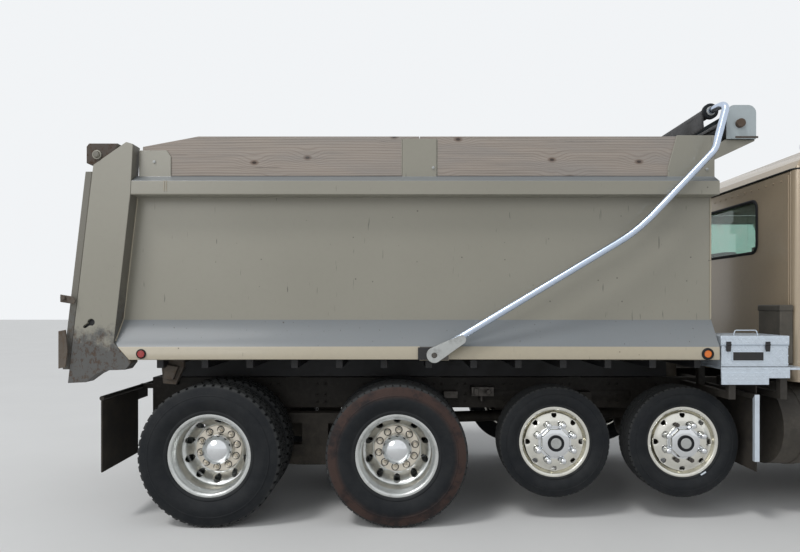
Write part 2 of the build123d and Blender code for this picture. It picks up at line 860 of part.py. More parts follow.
def tyre_profile(centre, radius, width, bead):
    """Section of a tyre: axial place against radius, as short straight runs."""
    half = width / 2
    return [
        (centre - half * 0.74, bead),
        (centre - half, bead + (radius - bead) * 0.45),
        (centre - half * 0.82, radius),
        (centre + half * 0.82, radius),
        (centre + half, bead + (radius - bead) * 0.45),
        (centre + half * 0.74, bead),
    ]


def rim_profile(centre, half, bead):
    """Section of a rim: two flanges and a drop centre."""
    return [
        (centre - half, bead),
        (centre + half, bead),
        (centre + half, bead - 14),
        (centre + half * 0.78, bead - 22),
        (centre + half * 0.55, bead - rim_well),
        (centre - half * 0.55, bead - rim_well),
        (centre - half * 0.78, bead - 22),
        (centre - half, bead - 14),
    ]


def disc_profile(centre, half, bead, face, way):
    """Section of a wheel disc: a flat face that runs out to the rim's well."""
    root = centre + way * half * 0.5
    return [
        (face - disc_thickness / 2, hub_radius - 5),
        (face - disc_thickness / 2, bead * 0.69),
        (root - disc_thickness / 2, bead - rim_well + 10),
        (root + disc_thickness / 2 + 6, bead - rim_well + 10),
        (face + disc_thickness / 2, bead * 0.705),
        (face + disc_thickness / 2, hub_radius - 5),
    ]


for axle, kind, x, z, outer_y in axle_rows:
    radius, width, bead, drum, hub_out, holes, hole_circle, rims = wheel_kinds[kind]
    half_rim = width * flange_reach
    bore = spindle_radius + pin_clearance
    last_face = rims[-1][1]
    inner_end = rims[-1][0] - width / 2 + 40 if kind == "drive" else -80
    for side, side_name in ((1, "left"), (-1, "right")):
        plane = wheel_plane(x, side * outer_y, z, side)
        axis = Axis((x, 0, z), (0, 1, 0))
        with BuildPart() as tyre:
            for centre, face, way in rims:
                with BuildSketch(plane):
                    with BuildLine():
                        Polyline(*tyre_profile(centre, radius, width, bead + seat_gap), close=True)
                    make_face()
                revolve(axis=axis)
        save(tyre, f"tyre_{axle}_{side_name}")
        with BuildPart() as wheel:
            for centre, face, way in rims:
                with BuildSketch(plane):
                    with BuildLine():
                        Polyline(*rim_profile(centre, half_rim, bead), close=True)
                    make_face()
                revolve(axis=axis)
                with BuildSketch(plane):
                    with BuildLine():
                        Polyline(*disc_profile(centre, half_rim, bead, face, way), close=True)
                    make_face()
                revolve(axis=axis)
            # Hub and brake drum
            with BuildSketch(plane):
                with BuildLine():
                    Polyline(
                        (inner_end, bore),
                        (inner_end, drum),
                        (last_face, drum),
                        (last_face, hub_radius + 30),
                        (rims[0][1] + disc_thickness, hub_radius + 30),
                        (rims[0][1] + disc_thickness, hub_radius),
                        (hub_out - hub_cap, hub_radius),
                        (hub_out, hub_radius * 0.7),
                        (hub_out, 0),
                        (hub_out - hub_cap, 0),
                        (hub_out - hub_cap, bore),
                        close=True,
                    )
                make_face()
            revolve(axis=axis)
            hole_depth = half_rim + abs(last_face) + 30
            hole_start = rims[0][1] + 60 if kind == "drive" else rims[0][1] + 30
            hole_plane = Plane(
                origin=(x, side * (outer_y + hole_start), z),
                x_dir=(1, 0, 0),
                z_dir=(0, side, 0),
            )
            with Locations(hole_plane.location):
                with PolarLocations(hole_circle, holes):
                    Hole(hand_hole_radius, hole_depth)
        save(wheel, f"wheel_{axle}_{side_name}")

# Steering knuckles and the front axle
for side, side_name in ((1, "left"), (-1, "right")):
    with BuildPart() as knuckle:
        for low, high in ((tyre_radius + 50, tyre_radius + 95), (tyre_radius - 95, tyre_radius - 50)):
            block(
                (steer_x - 55, steer_x + 55),
                tuple(sorted((side * (kingpin_y - 50), side * (kingpin_y + 76)))),
                (low, high),
            )
        block(
            (steer_x - 55, steer_x + 55),
            tuple(sorted((side * (kingpin_y + 56), side * (kingpin_y + 76)))),
            (tyre_radius - 95, tyre_radius + 95),
        )
        rod(
            (steer_x, side * kingpin_y, tyre_radius - 95),
            (steer_x, side * kingpin_y, tyre_radius + 95),
            kingpin_radius,
        )
        rod(
            (steer_x, side * (kingpin_y + 70), tyre_radius),
            (steer_x, side * (steer_wheel_y + steer_hub_out - spindle_end_gap), tyre_radius),
            spindle_radius,
        )
    save(knuckle, f"knuckle_{side_name}")

spring_y = 430
with BuildPart() as front_axle:
    for side in (1, -1):
        rod(
            (steer_x, side * kingpin_y, tyre_radius - 44),
            (steer_x, side * kingpin_y, tyre_radius + 44),
            50,
        )
        with BuildSketch(Plane.YZ.offset(steer_x - 45)):
            with BuildLine():
                Polyline(
                    (side * (spring_y - 80), 400),
                    (side * (spring_y + 80), 400),
                    (side * (kingpin_y - 110), tyre_radius - 35),
                    (side * kingpin_y, tyre_radius - 35),
                    (side * kingpin_y, tyre_radius + 35),
                    (side * (kingpin_y - 110), tyre_radius + 35),
                    (side * (spring_y + 60), 500),
                    (side * (spring_y - 80), 500),
                    close=True,
                )
            make_face()
        extrude(amount=90)
        # Leaf spring, axle seat and its two hangers on the rail
        block((steer_x - 70, steer_x + 70), (side * spring_y - 45, side * spring_y + 45), (500, 580))
        with BuildSketch(side_plane(side * spring_y - 40)):
            with BuildLine():
                Polyline(
                    (steer_x - 640, 700),
                    (steer_x, 580),
                    (steer_x + 640, 700),
                    (steer_x + 640, 730),
                    (steer_x, 640),
                    (steer_x - 640, 730),
                    close=True,
                )
            make_face()
        extrude(amount=-80)
        for hanger_x in (steer_x - 640, steer_x + 640):
            block(
                (hanger_x - 40, hanger_x + 40),
                (side * spring_y - 40, side * spring_y + 40),
                (700, frame_bottom_z),
            )
    block((steer_x - 45, steer_x + 45), (-spring_y - 60, spring_y + 60), (400, 500))
    for side in (1, -1):
        rod(
            (steer_x, side * kingpin_y, tyre_radius - 110),
            (steer_x, side * kingpin_y, tyre_radius + 110),
            kingpin_radius + pin_clearance,
            mode=Mode.SUBTRACT,
        )
save(front_axle, "front_axle")

gearbox_rear_x = cab_rear_x + 740
shaft_gap = 2
# Drive axles with their differentials and the shafts between
with BuildPart() as drive_axles:
    for x in (rear_drive_x, rear_drive_x + drive_spacing):
        reach = drive_outer_y + drive_hub_out - spindle_end_gap
        rod((x, -reach, tyre_radius), (x, reach, tyre_radius), spindle_radius)
        tube_reach = drive_outer_y - dual_spacing - tyre_width / 2 + 40 - panel_gap
        rod((x, -tube_reach, tyre_radius), (x, tube_reach, tyre_radius), 70)
        with Locations((x, 0, tyre_radius)):
            Sphere(195)
        rod((x, 0, tyre_radius), (x + 290, 0, tyre_radius + 60), 90)
    rod(
        (rear_drive_x + 280, 0, tyre_radius + 60),
        (rear_drive_x + drive_spacing - 150, 0, tyre_radius + 60),
        45,
    )
    rod((rear_drive_x + drive_spacing + 280, 0, tyre_radius + 60), (gearbox_rear_x - shaft_gap, 0, 690), 50)
save(drive_axles, "drive_axles")

# Rear suspension: equaliser beams, leaf packs and torque rods
beam_inner_y = frame_half_width + 30
beam_width = 100
middle_x = rear_drive_x + drive_spacing / 2
with BuildPart() as rear_suspension:
    for side in (1, -1):
        low, high = sorted((side * beam_inner_y, side * (beam_inner_y + beam_width)))
        with BuildSketch(side_plane(low)):
            with BuildLine():
                Polyline(
                    (rear_drive_x - 90, tyre_radius - 170),
                    (middle_x - 150, tyre_radius - 230),
                    (middle_x + 150, tyre_radius - 230),
                    (rear_drive_x + drive_spacing + 90, tyre_radius - 170),
                    (rear_drive_x + drive_spacing + 90, tyre_radius - 72),
                    (middle_x + 150, tyre_radius - 60),
                    (middle_x - 150, tyre_radius - 60),
                    (rear_drive_x - 90, tyre_radius - 72),
                    close=True,
                )
            make_face()
        extrude(amount=-(high - low))
        # Saddle between beam and springs
        block((middle_x - 110, middle_x + 110), (low, high), (tyre_radius - 62, 660))
        # Leaf pack
        for layer in range(4):
            reach = 640 - 120 * (3 - layer)
            block((middle_x - reach, middle_x + reach), (low, high), (640 + 22 * layer, 662 + 22 * layer))
        # Spring hangers on the outside of the rail
        for hanger_x in (middle_x - 600, middle_x + 600):
            hang_low, hang_high = sorted((side * frame_half_width, side * (beam_inner_y + beam_width)))
            block((hanger_x - 50, hanger_x + 50), (hang_low, hang_high), (706, 900))
save(rear_suspension, "rear_suspension")

lift_beam_drop = 160
# Lift axles with trailing arms and air springs
with BuildPart() as lift_axles:
    for x in (lift_rear_x, lift_rear_x + lift_spacing):
        reach = lift_wheel_y + lift_hub_out - spindle_end_gap
        for side in (1, -1):
            rod((x, side * 770, lift_axle_z), (x, side * reach, lift_axle_z), spindle_radius)
        with BuildLine() as beam_path:
            FilletPolyline(
                (x, -780, lift_axle_z),
                (x, -330, lift_axle_z),
                (x, -190, lift_axle_z - lift_beam_drop),
                (x, 190, lift_axle_z - lift_beam_drop),
                (x, 330, lift_axle_z),
                (x, 780, lift_axle_z),
                radius=70,
            )
        with BuildSketch(Plane(origin=beam_path.line @ 0, z_dir=beam_path.line % 0)):
            Circle(62)
        sweep()
        for side in (1, -1):
            low, high = sorted((side * (frame_half_width + 40), side * (frame_half_width + 120)))
            with BuildSketch(side_plane(low)):
                with BuildLine():
                    Polyline(
                        (x - 120, lift_axle_z - 110),
                        (x + 120, lift_axle_z - 110),
                        (x + 400, 690),
                        (x + 400, 760),
                        (x - 120, lift_axle_z - 30),
                        close=True,
                    )
                make_face()
            extrude(amount=-(high - low))
            hang_low, hang_high = sorted((side * frame_half_width, side * (frame_half_width + 120)))
            block((x + 340, x + 440), (hang_low, hang_high), (690, 900))
            rod((x - 30, side * 480, lift_axle_z + 50), (x - 30, side * 480, frame_bottom_z), 48)
save(lift_axles, "lift_axles")

# Engine, as one plain block on its mounts
engine_rear_x = cab_front_x + 40
with BuildPart() as engine_block:
    block((engine_rear_x, engine_rear_x + 900), (-330, 330), (640, 1450))
    block((gearbox_rear_x, engine_rear_x), (-190, 190), (600, 940))
    for mount_x in (engine_rear_x + 100, engine_rear_x + 800):
        block((mount_x - 40, mount_x + 40), (-rail_inner_y, rail_inner_y), (800, 860))
save(engine_block, "engine_block")

# Cab shell
cab_profile = [
    (cab_rear_x, cab_floor_z),
    (cab_rear_x, cab_roof_z - 95),
    (cab_rear_x + 45, cab_roof_z - 10),
    (cab_rear_x + 160, cab_roof_z + 90),
    (cab_rear_x + 330, cab_roof_z + 150),
    (cab_rear_x + 600, cab_crown_z),
    (cab_rear_x + 850, cab_roof_z + 105),
    (cab_rear_x + 990, cab_roof_z - 60),
    (cab_front_x - 60, 2010),
    (cab_front_x, 1960),
    (cab_front_x, cab_floor_z),
]
# Section of the cab across its width, with a crowned roof
roof_section = [
    (cab_half_width, cab_floor_z - 1),
    (cab_half_width, cab_roof_z - 95),
    (cab_half_width - 30, cab_roof_z + 10),
    (cab_half_width - 130, cab_roof_z + 90),
    (cab_half_width - 420, cab_roof_z + 150),
    (0, cab_crown_z + 1),
]
roof_section += [(-y, z) for y, z in reversed(roof_section[:-1])]
visor_half_width = 860
screen_top = (cab_rear_x + 990, cab_roof_z - 60)
screen_bottom = (cab_front_x - 60, 2010)
screen_plane = Plane(
    origin=((screen_top[0] + screen_bottom[0]) / 2, 0, (screen_top[1] + screen_bottom[1]) / 2),
    x_dir=(0, 1, 0),
    z_dir=(screen_top[1] - screen_bottom[1], 0, screen_bottom[0] - screen_top[0]),
)
screen_height = sqrt((screen_bottom[0] - screen_top[0]) ** 2 + (screen_top[1] - screen_bottom[1]) ** 2)
screen_size = (1720, screen_height - 110)
rear_window = (1060, 440)
roof_seam_z = cab_roof_z - 80
roof_seam_x = cab_rear_x + 930
side_seam_y = cab_half_width - cab_wall - 10
rear_window_z = 2290
# Door and window outlines, with a front edge that runs along the windscreen pillar
pillar_slope = (screen_bottom[0] - screen_top[0]) / (screen_top[1] - screen_bottom[1])
pillar_foot_z = screen_bottom[1]
door_outline = [
    (door_rear_x, door_bottom_z),
    (door_rear_x, door_top_z),
    (door_front_x - (door_top_z - pillar_foot_z) * pillar_slope, door_top_z),
    (door_front_x, pillar_foot_z),
    (door_front_x, door_bottom_z),
]
window_rear_x = door_rear_x + 70
window_front_x = door_front_x - 95
window_top_z = door_top_z - 80
window_outline = [
    (window_rear_x, window_sill_z),
    (window_rear_x, window_top_z),
    (window_front_x - (window_top_z - pillar_foot_z) * pillar_slope, window_top_z),
    (window_front_x, pillar_foot_z),
    (window_front_x, window_sill_z),
]
with BuildPart() as cab_shell:
    with BuildSketch(side_plane(-cab_half_width)):
        with BuildLine():
            Polyline(*cab_profile, close=True)
        make_face()
    extrude(amount=-2 * cab_half_width)
    with BuildSketch(Plane.YZ.offset(cab_rear_x)):
        with BuildLine():
            Polyline(*roof_section, close=True)
        make_face()
    extrude(amount=cab_front_x - cab_rear_x, mode=Mode.INTERSECT)
    fillet(cab_shell.edges().filter_by(Axis.Z).group_by(Axis.X)[0], 70)
    with BuildPart(mode=Mode.SUBTRACT):
        with BuildSketch(side_plane(-cab_half_width + cab_wall)):
            with BuildLine():
                Polyline(*cab_profile, close=True)
            make_face()
            offset(amount=-cab_wall, mode=Mode.REPLACE)
        extrude(amount=-2 * (cab_half_width - cab_wall))
        with BuildSketch(Plane.YZ.offset(cab_rear_x)):
            with BuildLine():
                Polyline(*roof_section, close=True)
            make_face()
            offset(amount=-cab_wall, mode=Mode.REPLACE)
        extrude(amount=cab_front_x - cab_rear_x, mode=Mode.INTERSECT)
    # Sun visor over the windscreen
    with BuildSketch(side_plane(-visor_half_width)):
        with BuildLine():
            Polyline(
                (cab_rear_x + 950, cab_roof_z - 20),
                (cab_rear_x + 1150, cab_roof_z - 130),
                (cab_rear_x + 1158, cab_roof_z - 116),
                (cab_rear_x + 962, cab_roof_z + 12),
                close=True,
            )
        make_face()
    extrude(amount=-2 * visor_half_width)
    # Door openings on both sides
    for side in (1, -1):
        low, high = sorted((side * (cab_half_width - cab_wall - 1), side * (cab_half_width + 1)))
        with BuildSketch(side_plane(low)):
            with BuildLine():
                Polyline(*door_outline, close=True)
            make_face()
            offset(amount=panel_gap, kind=Kind.INTERSECTION, mode=Mode.REPLACE)
        extrude(amount=-(high - low), mode=Mode.SUBTRACT)
    with BuildSketch(screen_plane):
        RectangleRounded(*screen_size, 60)
    extrude(amount=70, both=True, mode=Mode.SUBTRACT)
    with BuildSketch(Plane.YZ.offset(cab_rear_x - 1)):
        with Locations((0, rear_window_z)):
            RectangleRounded(*rear_window, 70)
    extrude(amount=cab_wall + 2, mode=Mode.SUBTRACT)
    # Seams between floor, rear wall, roof, front and sides
    for side in (1, -1):
        inner = side * side_seam_y
        for from_x, to_x, top_z in (
            (cab_rear_x - 1, roof_seam_x + 1, roof_seam_z + seat_gap),
            (roof_seam_x, cab_front_x + 1, cab_crown_z + 60),
        ):
            block(
                (from_x, to_x),
                tuple(sorted((inner, inner + side * seat_gap))),
                (cab_floor_z - 1, top_z),
                mode=Mode.SUBTRACT,
            )
    panel_side = (-side_seam_y, side_seam_y)
    block(
        (cab_rear_x - 1, cab_front_x + 1),
        panel_side,
        (cab_floor_z + cab_wall - seat_gap, cab_floor_z + cab_wall),
        mode=Mode.SUBTRACT,
    )
    cab_side = (-cab_half_width - 1, cab_half_width + 1)
    block(
        (cab_rear_x - 1, roof_seam_x + seat_gap),
        cab_side,
        (roof_seam_z, roof_seam_z + seat_gap),
        mode=Mode.SUBTRACT,
    )
    block(
        (roof_seam_x, roof_seam_x + seat_gap),
        cab_side,
        (roof_seam_z, cab_crown_z + 60),
        mode=Mode.SUBTRACT,
    )
    # Fixed halves of the door hinges, above and below each door barrel
    for side in (1, -1):
        for hinge_z in hinge_heights:
            for low_z in (hinge_z + hinge_half + seat_gap, hinge_z - hinge_half - seat_gap - hinge_ear):
                rod(
                    (door_front_x, side * hinge_y, low_z),
                    (door_front_x, side * hinge_y, low_z + hinge_ear),
                    hinge_radius,
                )
                low, high = sorted((side * cab_half_width, side * hinge_y))
                block(
                    (door_front_x, door_front_x + 70),
                    (low, high),
                    (low_z, low_z + hinge_ear),
                )
    # Mounts down to the rails
    for mount_x in (cab_rear_x + 90, cab_front_x - 110):
        for side in (1, -1):
            low, high = sorted((side * (frame_half_width - frame_flange), side * frame_half_width))
            block((mount_x - 60, mount_x + 60), (low, high), (frame_top_z, cab_floor_z + 1))
save(cab_shell, "cab_shell")
with BuildPart() as cab_glass:
    with BuildSketch(screen_plane.offset(-cab_wall / 2)):
        RectangleRounded(screen_size[0] - 2 * seat_gap, screen_size[1] - 2 * seat_gap, 60)
    extrude(amount=glass_thickness)
    with BuildSketch(Plane.YZ.offset(cab_rear_x + cab_wall / 2)):
        with Locations((0, rear_window_z)):
            RectangleRounded(rear_window[0] - 2 * seat_gap, rear_window[1] - 2 * seat_gap, 70)
    extrude(amount=glass_thickness)
save(cab_glass, "cab_glass")

# Seats, dash and steering wheel on one floor mat
mat_z = cab_floor_z + cab_wall
inside_y = cab_half_width - cab_wall - 5
mat_thickness = 15
seat_y = 480
dash_rear_x = cab_rear_x + 970
wheel_x = dash_rear_x - 150
with BuildPart() as cab_interior:
    block(
        (cab_rear_x + cab_wall + 10, cab_front_x - cab_wall - 10),
        (-inside_y, inside_y),
        (mat_z, mat_z + mat_thickness),
    )
    # Seats: base, cushion and back
    for side in (1, -1):
        seat_side = (side * seat_y - 250, side * seat_y + 250)
        base_side = (side * seat_y - 160, side * seat_y + 160)
        base_low_z = mat_z + mat_thickness + seat_gap
        block((cab_rear_x + 230, cab_rear_x + 590), base_side, (base_low_z, mat_z + 210))
        block((cab_rear_x + 170, cab_rear_x + 690), seat_side, (mat_z + 200, mat_z + 420))
        block((cab_rear_x + 130, cab_rear_x + 260), seat_side, (mat_z + 400, mat_z + 1050))
    # Dashboard on its bulkhead
    dash_front_x = cab_rear_x + 1285
    block((dash_rear_x, dash_front_x), (-inside_y, inside_y), (1480, 1900))
    block((dash_rear_x + 170, dash_front_x), (-inside_y, inside_y), (mat_z + mat_thickness + seat_gap, 1500))
    # Steering column and wheel
    rod((dash_rear_x + 60, seat_y, 1720), (wheel_x, seat_y, 1860), 30)
    with Locations(Plane(origin=(wheel_x, seat_y, 1860), z_dir=(-210, 0, 140)).location):
        Torus(220, 14)
        Box(440, 40, 16)
save(cab_interior, "cab_interior")

# Doors with their glass and mirrors
for side, side_name in ((1, "left"), (-1, "right")):
    low, high = sorted((side * (cab_half_width - cab_wall), side * cab_half_width))
    with BuildPart() as door:
        with BuildSketch(side_plane(low)):
            with BuildLine():
                Polyline(*door_outline, close=True)
            make_face()
        extrude(amount=-cab_wall)
        with BuildSketch(side_plane(low - 1)):
            with BuildLine():
                Polyline(*window_outline, close=True)
            make_face()
        extrude(amount=-(cab_wall + 2), mode=Mode.SUBTRACT)
        # Hinge barrels at the front edge
        for hinge_z in hinge_heights:
            rod(
                (door_front_x, side * hinge_y, hinge_z - hinge_half),
                (door_front_x, side * hinge_y, hinge_z + hinge_half),
                hinge_radius,
            )
            leaf_low, leaf_high = sorted((side * cab_half_width, side * hinge_y))
            block((door_front_x - 70, door_front_x), (leaf_low, leaf_high), (hinge_z - 40, hinge_z + 40))
        # Mirror head on two arms
        mirror_low, mirror_high = sorted((side * (cab_half_width + 90), side * (cab_half_width + 270)))
        block((door_front_x - 110, door_front_x - 50), (mirror_low, mirror_high), (1900, 2400))
        for arm_z, foot_x in ((1960, door_front_x - 40), (2340, door_front_x - 200)):
            rod(
                (foot_x, side * (cab_half_width - 20), arm_z),
                (door_front_x - 80, side * (cab_half_width + 100), arm_z),
                14,
            )
    save(door, f"door_{side_name}")
    with BuildPart() as pane:
        with BuildSketch(side_plane(side * (cab_half_width - cab_wall / 2) - glass_thickness / 2)):
            with BuildLine():
                Polyline(*window_outline, close=True)
            make_face()
            offset(amount=-seat_gap, mode=Mode.REPLACE)
        extrude(amount=-glass_thickness)
    save(pane, f"door_glass_{side_name}")

# Tilting hood with its fenders
headlamp_places = (760, 1000)
headlamp_z = 960
headlamp_radius = 90
hood_rear_size = (1480, 910)
hood_rear_z = 1500
hood_nose_size = (1120, 860)
hood_nose_z = 1190
with BuildPart() as hood_shell:
    with BuildSketch(Plane.YZ.offset(hood_rear_x)):
        with Locations((0, hood_rear_z)):
            RectangleRounded(*hood_rear_size, 120)
    with BuildSketch(Plane.YZ.offset(hood_front_x)):
        with Locations((0, hood_nose_z)):
            RectangleRounded(*hood_nose_size, 120)
    loft()
    for side in (1, -1):
        low, high = sorted((side * fender_inner_y, side * fender_outer_y))
        with BuildSketch(side_plane(low)):
            with Locations((steer_x, tyre_radius)):
                Circle(arch_radius + hood_wall)
            with Locations((steer_x, fender_bottom_z - arch_radius)):
                Rectangle(4 * arch_radius, 2 * arch_radius, mode=Mode.SUBTRACT)
            with Locations((hood_rear_x - 200, tyre_radius + 300)):
                Rectangle(400, 1200, mode=Mode.SUBTRACT)
        extrude(amount=-(high - low))
        # Corner pod that carries the headlamp
        with BuildSketch(side_plane(low)):
            with BuildLine():
                Polyline(
                    (steer_x + 500, 760),
                    (hood_front_x - 60, 760),
                    (hood_front_x - 20, 900),
                    (hood_front_x - 60, 1120),
                    (steer_x + 300, 1185),
                    close=True,
                )
            make_face()
        extrude(amount=-(high - low))
    with BuildSketch(side_plane(-fender_outer_y - 1)):
        with Locations((steer_x, tyre_radius)):
            Circle(arch_radius)
    extrude(amount=-2 * (fender_outer_y + 1), mode=Mode.SUBTRACT)
    with BuildSketch(Plane.YZ.offset(hood_rear_x - 1)):
        with Locations((0, hood_rear_z - 120)):
            RectangleRounded(hood_rear_size[0] - 2 * hood_wall, hood_rear_size[1] + 240 - 2 * hood_wall, 95)
    with BuildSketch(Plane.YZ.offset(hood_front_x - hood_wall)):
        with Locations((0, hood_nose_z - 120)):
            RectangleRounded(hood_nose_size[0] - 2 * hood_wall, hood_nose_size[1] + 240 - 2 * hood_wall, 95)
    loft(mode=Mode.SUBTRACT)
    # Notches over the hinge ears, and lugs with their pins beside them
    for side in (1, -1):
        low, high = sorted((side * (hood_ear_y - 7), side * (hood_ear_y + hood_ear_plate + 7)))
        block(
            (hood_front_x - hood_wall - 1, hood_front_x + 1),
            (low, high),
            (hood_pivot_z - 30, hood_pivot_z + 55),
            mode=Mode.SUBTRACT,
        )
        lug_y = hood_ear_y + hood_ear_plate + 7
        low, high = sorted((side * lug_y, side * (lug_y + 30)))
        block(
            (hood_front_x - hood_wall, hood_front_x),
            (low, high),
            (hood_pivot_z - 16, hood_pivot_z + 60),
        )
        rod(
            (hood_pivot_x, side * (hood_ear_y - 2), hood_pivot_z),
            (hood_pivot_x, side * (hood_ear_y + hood_ear_plate + 20), hood_pivot_z),
            hood_pin_radius,
        )
    # Pockets for the headlamps
    for side in (1, -1):
        for lamp_y in headlamp_places:
            rod(
                (hood_front_x - 90 - seat_gap, side * lamp_y, headlamp_z),
                (hood_front_x + 10, side * lamp_y, headlamp_z),
                headlamp_radius + seat_gap,
                mode=Mode.SUBTRACT,
            )
    # Opening for the grille
    block(
        (hood_front_x - hood_wall - 1, hood_front_x + 1),
        (-400, 400),
        (860, 1540),
        mode=Mode.SUBTRACT,
    )
save(hood_shell, "hood_shell")
with BuildPart() as grille:
    for index in range(15):
        bar_y = -390 + index * 55
        block(
            (hood_front_x - 20, hood_front_x - 8),
            (bar_y - 6, bar_y + 16),
            (860 + seat_gap, 1540 - seat_gap),
        )
    for low, high in ((860 + seat_gap, 890), (1510, 1540 - seat_gap)):
        block((hood_front_x - 20, hood_front_x), (-400 + seat_gap, 400 - seat_gap), (low, high))
save(grille, "grille")
with BuildPart() as headlamps:
    for side in (1, -1):
        for lamp_y in headlamp_places:
            rod(
                (hood_front_x - 90, side * lamp_y, headlamp_z),
                (hood_front_x - 25, side * lamp_y, headlamp_z),
                headlamp_radius,
            )
save(headlamps, "headlamps")

# Front bumper on the rail ends
bumper_rear_x = front_x - 120
bumper_bottom_z = 400
bumper_top_z = 690
with BuildPart() as front_bumper:
    with BuildSketch(Plane.XY.offset(bumper_bottom_z)):
        with BuildLine():
            Polyline(
                (bumper_rear_x, -900),
                (bumper_rear_x, 900),
                (bumper_rear_x - 160, 1180),
                (bumper_rear_x - 80, 1200),
                (front_x, 940),
                (front_x, -940),
                (bumper_rear_x - 80, -1200),
                (bumper_rear_x - 160, -1180),
                close=True,
            )
        make_face()
    extrude(amount=bumper_top_z - bumper_bottom_z)
    for side in (1, -1):
        low, high = sorted((side * (frame_half_width - 60), side * frame_half_width))
        block((frame_front_x - 120, frame_front_x), (low, high), (500, frame_bottom_z))
        block((frame_front_x - 120, bumper_rear_x + 10), (low, high), (500, bumper_top_z - 20))
save(front_bumper, "front_bumper")

# Fuel tanks and steps
tank_radius = 320
tank_z = 700
tank_y = frame_half_width + 40 + tank_radius
step_place = (cab_rear_x + 970, cab_rear_x + 1230)
with BuildPart() as fuel_tanks:
    rod((cab_rear_x - 145, -tank_y, tank_z), (cab_rear_x + 940, -tank_y, tank_z), tank_radius)
    for strap_x in (cab_rear_x + 40, cab_rear_x + 740):
        block((strap_x - 30, strap_x + 30), (-tank_y, -frame_half_width), (tank_z + 60, tank_z + 160))
        rod((strap_x - 30, -tank_y, tank_z), (strap_x + 30, -tank_y, tank_z), tank_radius + 6)
    for step_z in (420, 720):
        block(step_place, (-1120, -frame_half_width - 100), (step_z, step_z + 40))
    block(step_place, (-frame_half_width - 140, -frame_half_width), (420, 960))
    mirror(about=Plane.XZ)
save(fuel_tanks, "fuel_tanks")

# Decks each side between bed and cab
deck_rear_x = bed_front_x + 15
deck_front_x = cab_rear_x - 165
deck_top_z = 1176
deck_plate = 16
bracket_drop = 4
flap_front_x = deck_front_x - 205
flap_plate = 10
with BuildPart() as side_decks:
    block((deck_rear_x, deck_front_x), (-1210, -700), (deck_top_z - deck_plate, deck_top_z))
    # Lower shelf in front, which carries the exhaust on the driver's side
    block(
        (deck_front_x - 2, deck_front_x + 130),
        (-1210, -700),
        (deck_top_z - deck_plate - bracket_drop, deck_top_z - bracket_drop),
    )
    block((deck_rear_x, deck_front_x), (-1210, -1200), (deck_top_z - 80, deck_top_z))
    block((deck_rear_x, deck_front_x - 155), (-1214, -1204), (deck_top_z - 127, deck_top_z - 40))
    for beam_x in (deck_rear_x + 85, deck_front_x - 40):
        block((beam_x - 25, beam_x + 25), (-1200, -frame_half_width), (940, 990))
        block((beam_x - 25, beam_x + 25), (-1200, -1150), (940, deck_top_z))
        block((beam_x - 25, beam_x + 25), (-760, -710), (940, deck_top_z))
    flap_hanger = (flap_front_x - flap_plate - 35, flap_front_x - flap_plate)
    block(flap_hanger, (-1200, -1170), (485, 945))
    block(flap_hanger, (-1200, -frame_half_width), (940, 975))
    mirror(about=Plane.XZ)
save(side_decks, "side_decks")
with BuildPart() as tool_box:
    block((deck_rear_x + 5, deck_front_x - 5), (-1200, -760), (deck_top_z, 1336))
    block((deck_rear_x, deck_front_x), (-1206, -755), (1336, 1405))
save(tool_box, "tool_box")

# Exhaust stack behind the cab, on the driver's side
stack_x = cab_rear_x - 88
stack_y = 760
stack_radius = 74
with BuildPart() as exhaust_stack:
    rod((stack_x, stack_y, 1180), (stack_x, stack_y, 2300), stack_radius)
    rod((stack_x, stack_y, 2290), (stack_x, stack_y, 3050), 55)
    block(
        (stack_x - 40, stack_x + 40),
        (stack_y - 40, stack_y + 40),
        (deck_top_z - bracket_drop, 1190),
    )
save(exhaust_stack, "exhaust_stack")

# Mud flaps and the lamps between them
with BuildPart() as mud_flaps:
    block((flap_x - 6, flap_x + 6), (-flap_outer_y, -470), (376, flap_bar_z - flap_bar_radius - seat_gap))
    block((flap_front_x - flap_plate, flap_front_x), (-1150, -600), (400, 1050))
    mirror(about=Plane.XZ)
save(mud_flaps, "mud_flaps")
with BuildPart() as tail_lamps:
    for lamp_y in (-420, -300):
        rod((flap_x - 40, lamp_y, flap_bar_z - 60), (flap_x - 18, lamp_y, flap_bar_z - 60), 50)
    mirror(about=Plane.XZ)
save(tail_lamps, "tail_lamps")
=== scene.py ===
"""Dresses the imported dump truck: its finishes, tyres, wheels, boards, tarp and small fittings."""

import json
import math
from functools import cache

import bmesh
import bpy
from bpy.props import FloatProperty, FloatVectorProperty, IntProperty, PointerProperty
from mathutils import Matrix, Vector


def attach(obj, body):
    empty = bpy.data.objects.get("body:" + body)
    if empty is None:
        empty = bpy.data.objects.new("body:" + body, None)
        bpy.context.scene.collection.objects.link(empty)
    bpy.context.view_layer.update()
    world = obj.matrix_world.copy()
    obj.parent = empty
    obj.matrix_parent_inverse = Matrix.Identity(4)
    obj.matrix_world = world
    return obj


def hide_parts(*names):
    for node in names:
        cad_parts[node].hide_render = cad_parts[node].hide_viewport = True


bl_info = {
    "name": "Dump Truck Dresser",
    "version": (1, 0, 0),
    "blender": (4, 5, 0),
    "location": "View3D > Sidebar > Dump Truck",
    "description": "Adds finishes and fittings to a packed dump truck",
    "category": "Object",
}

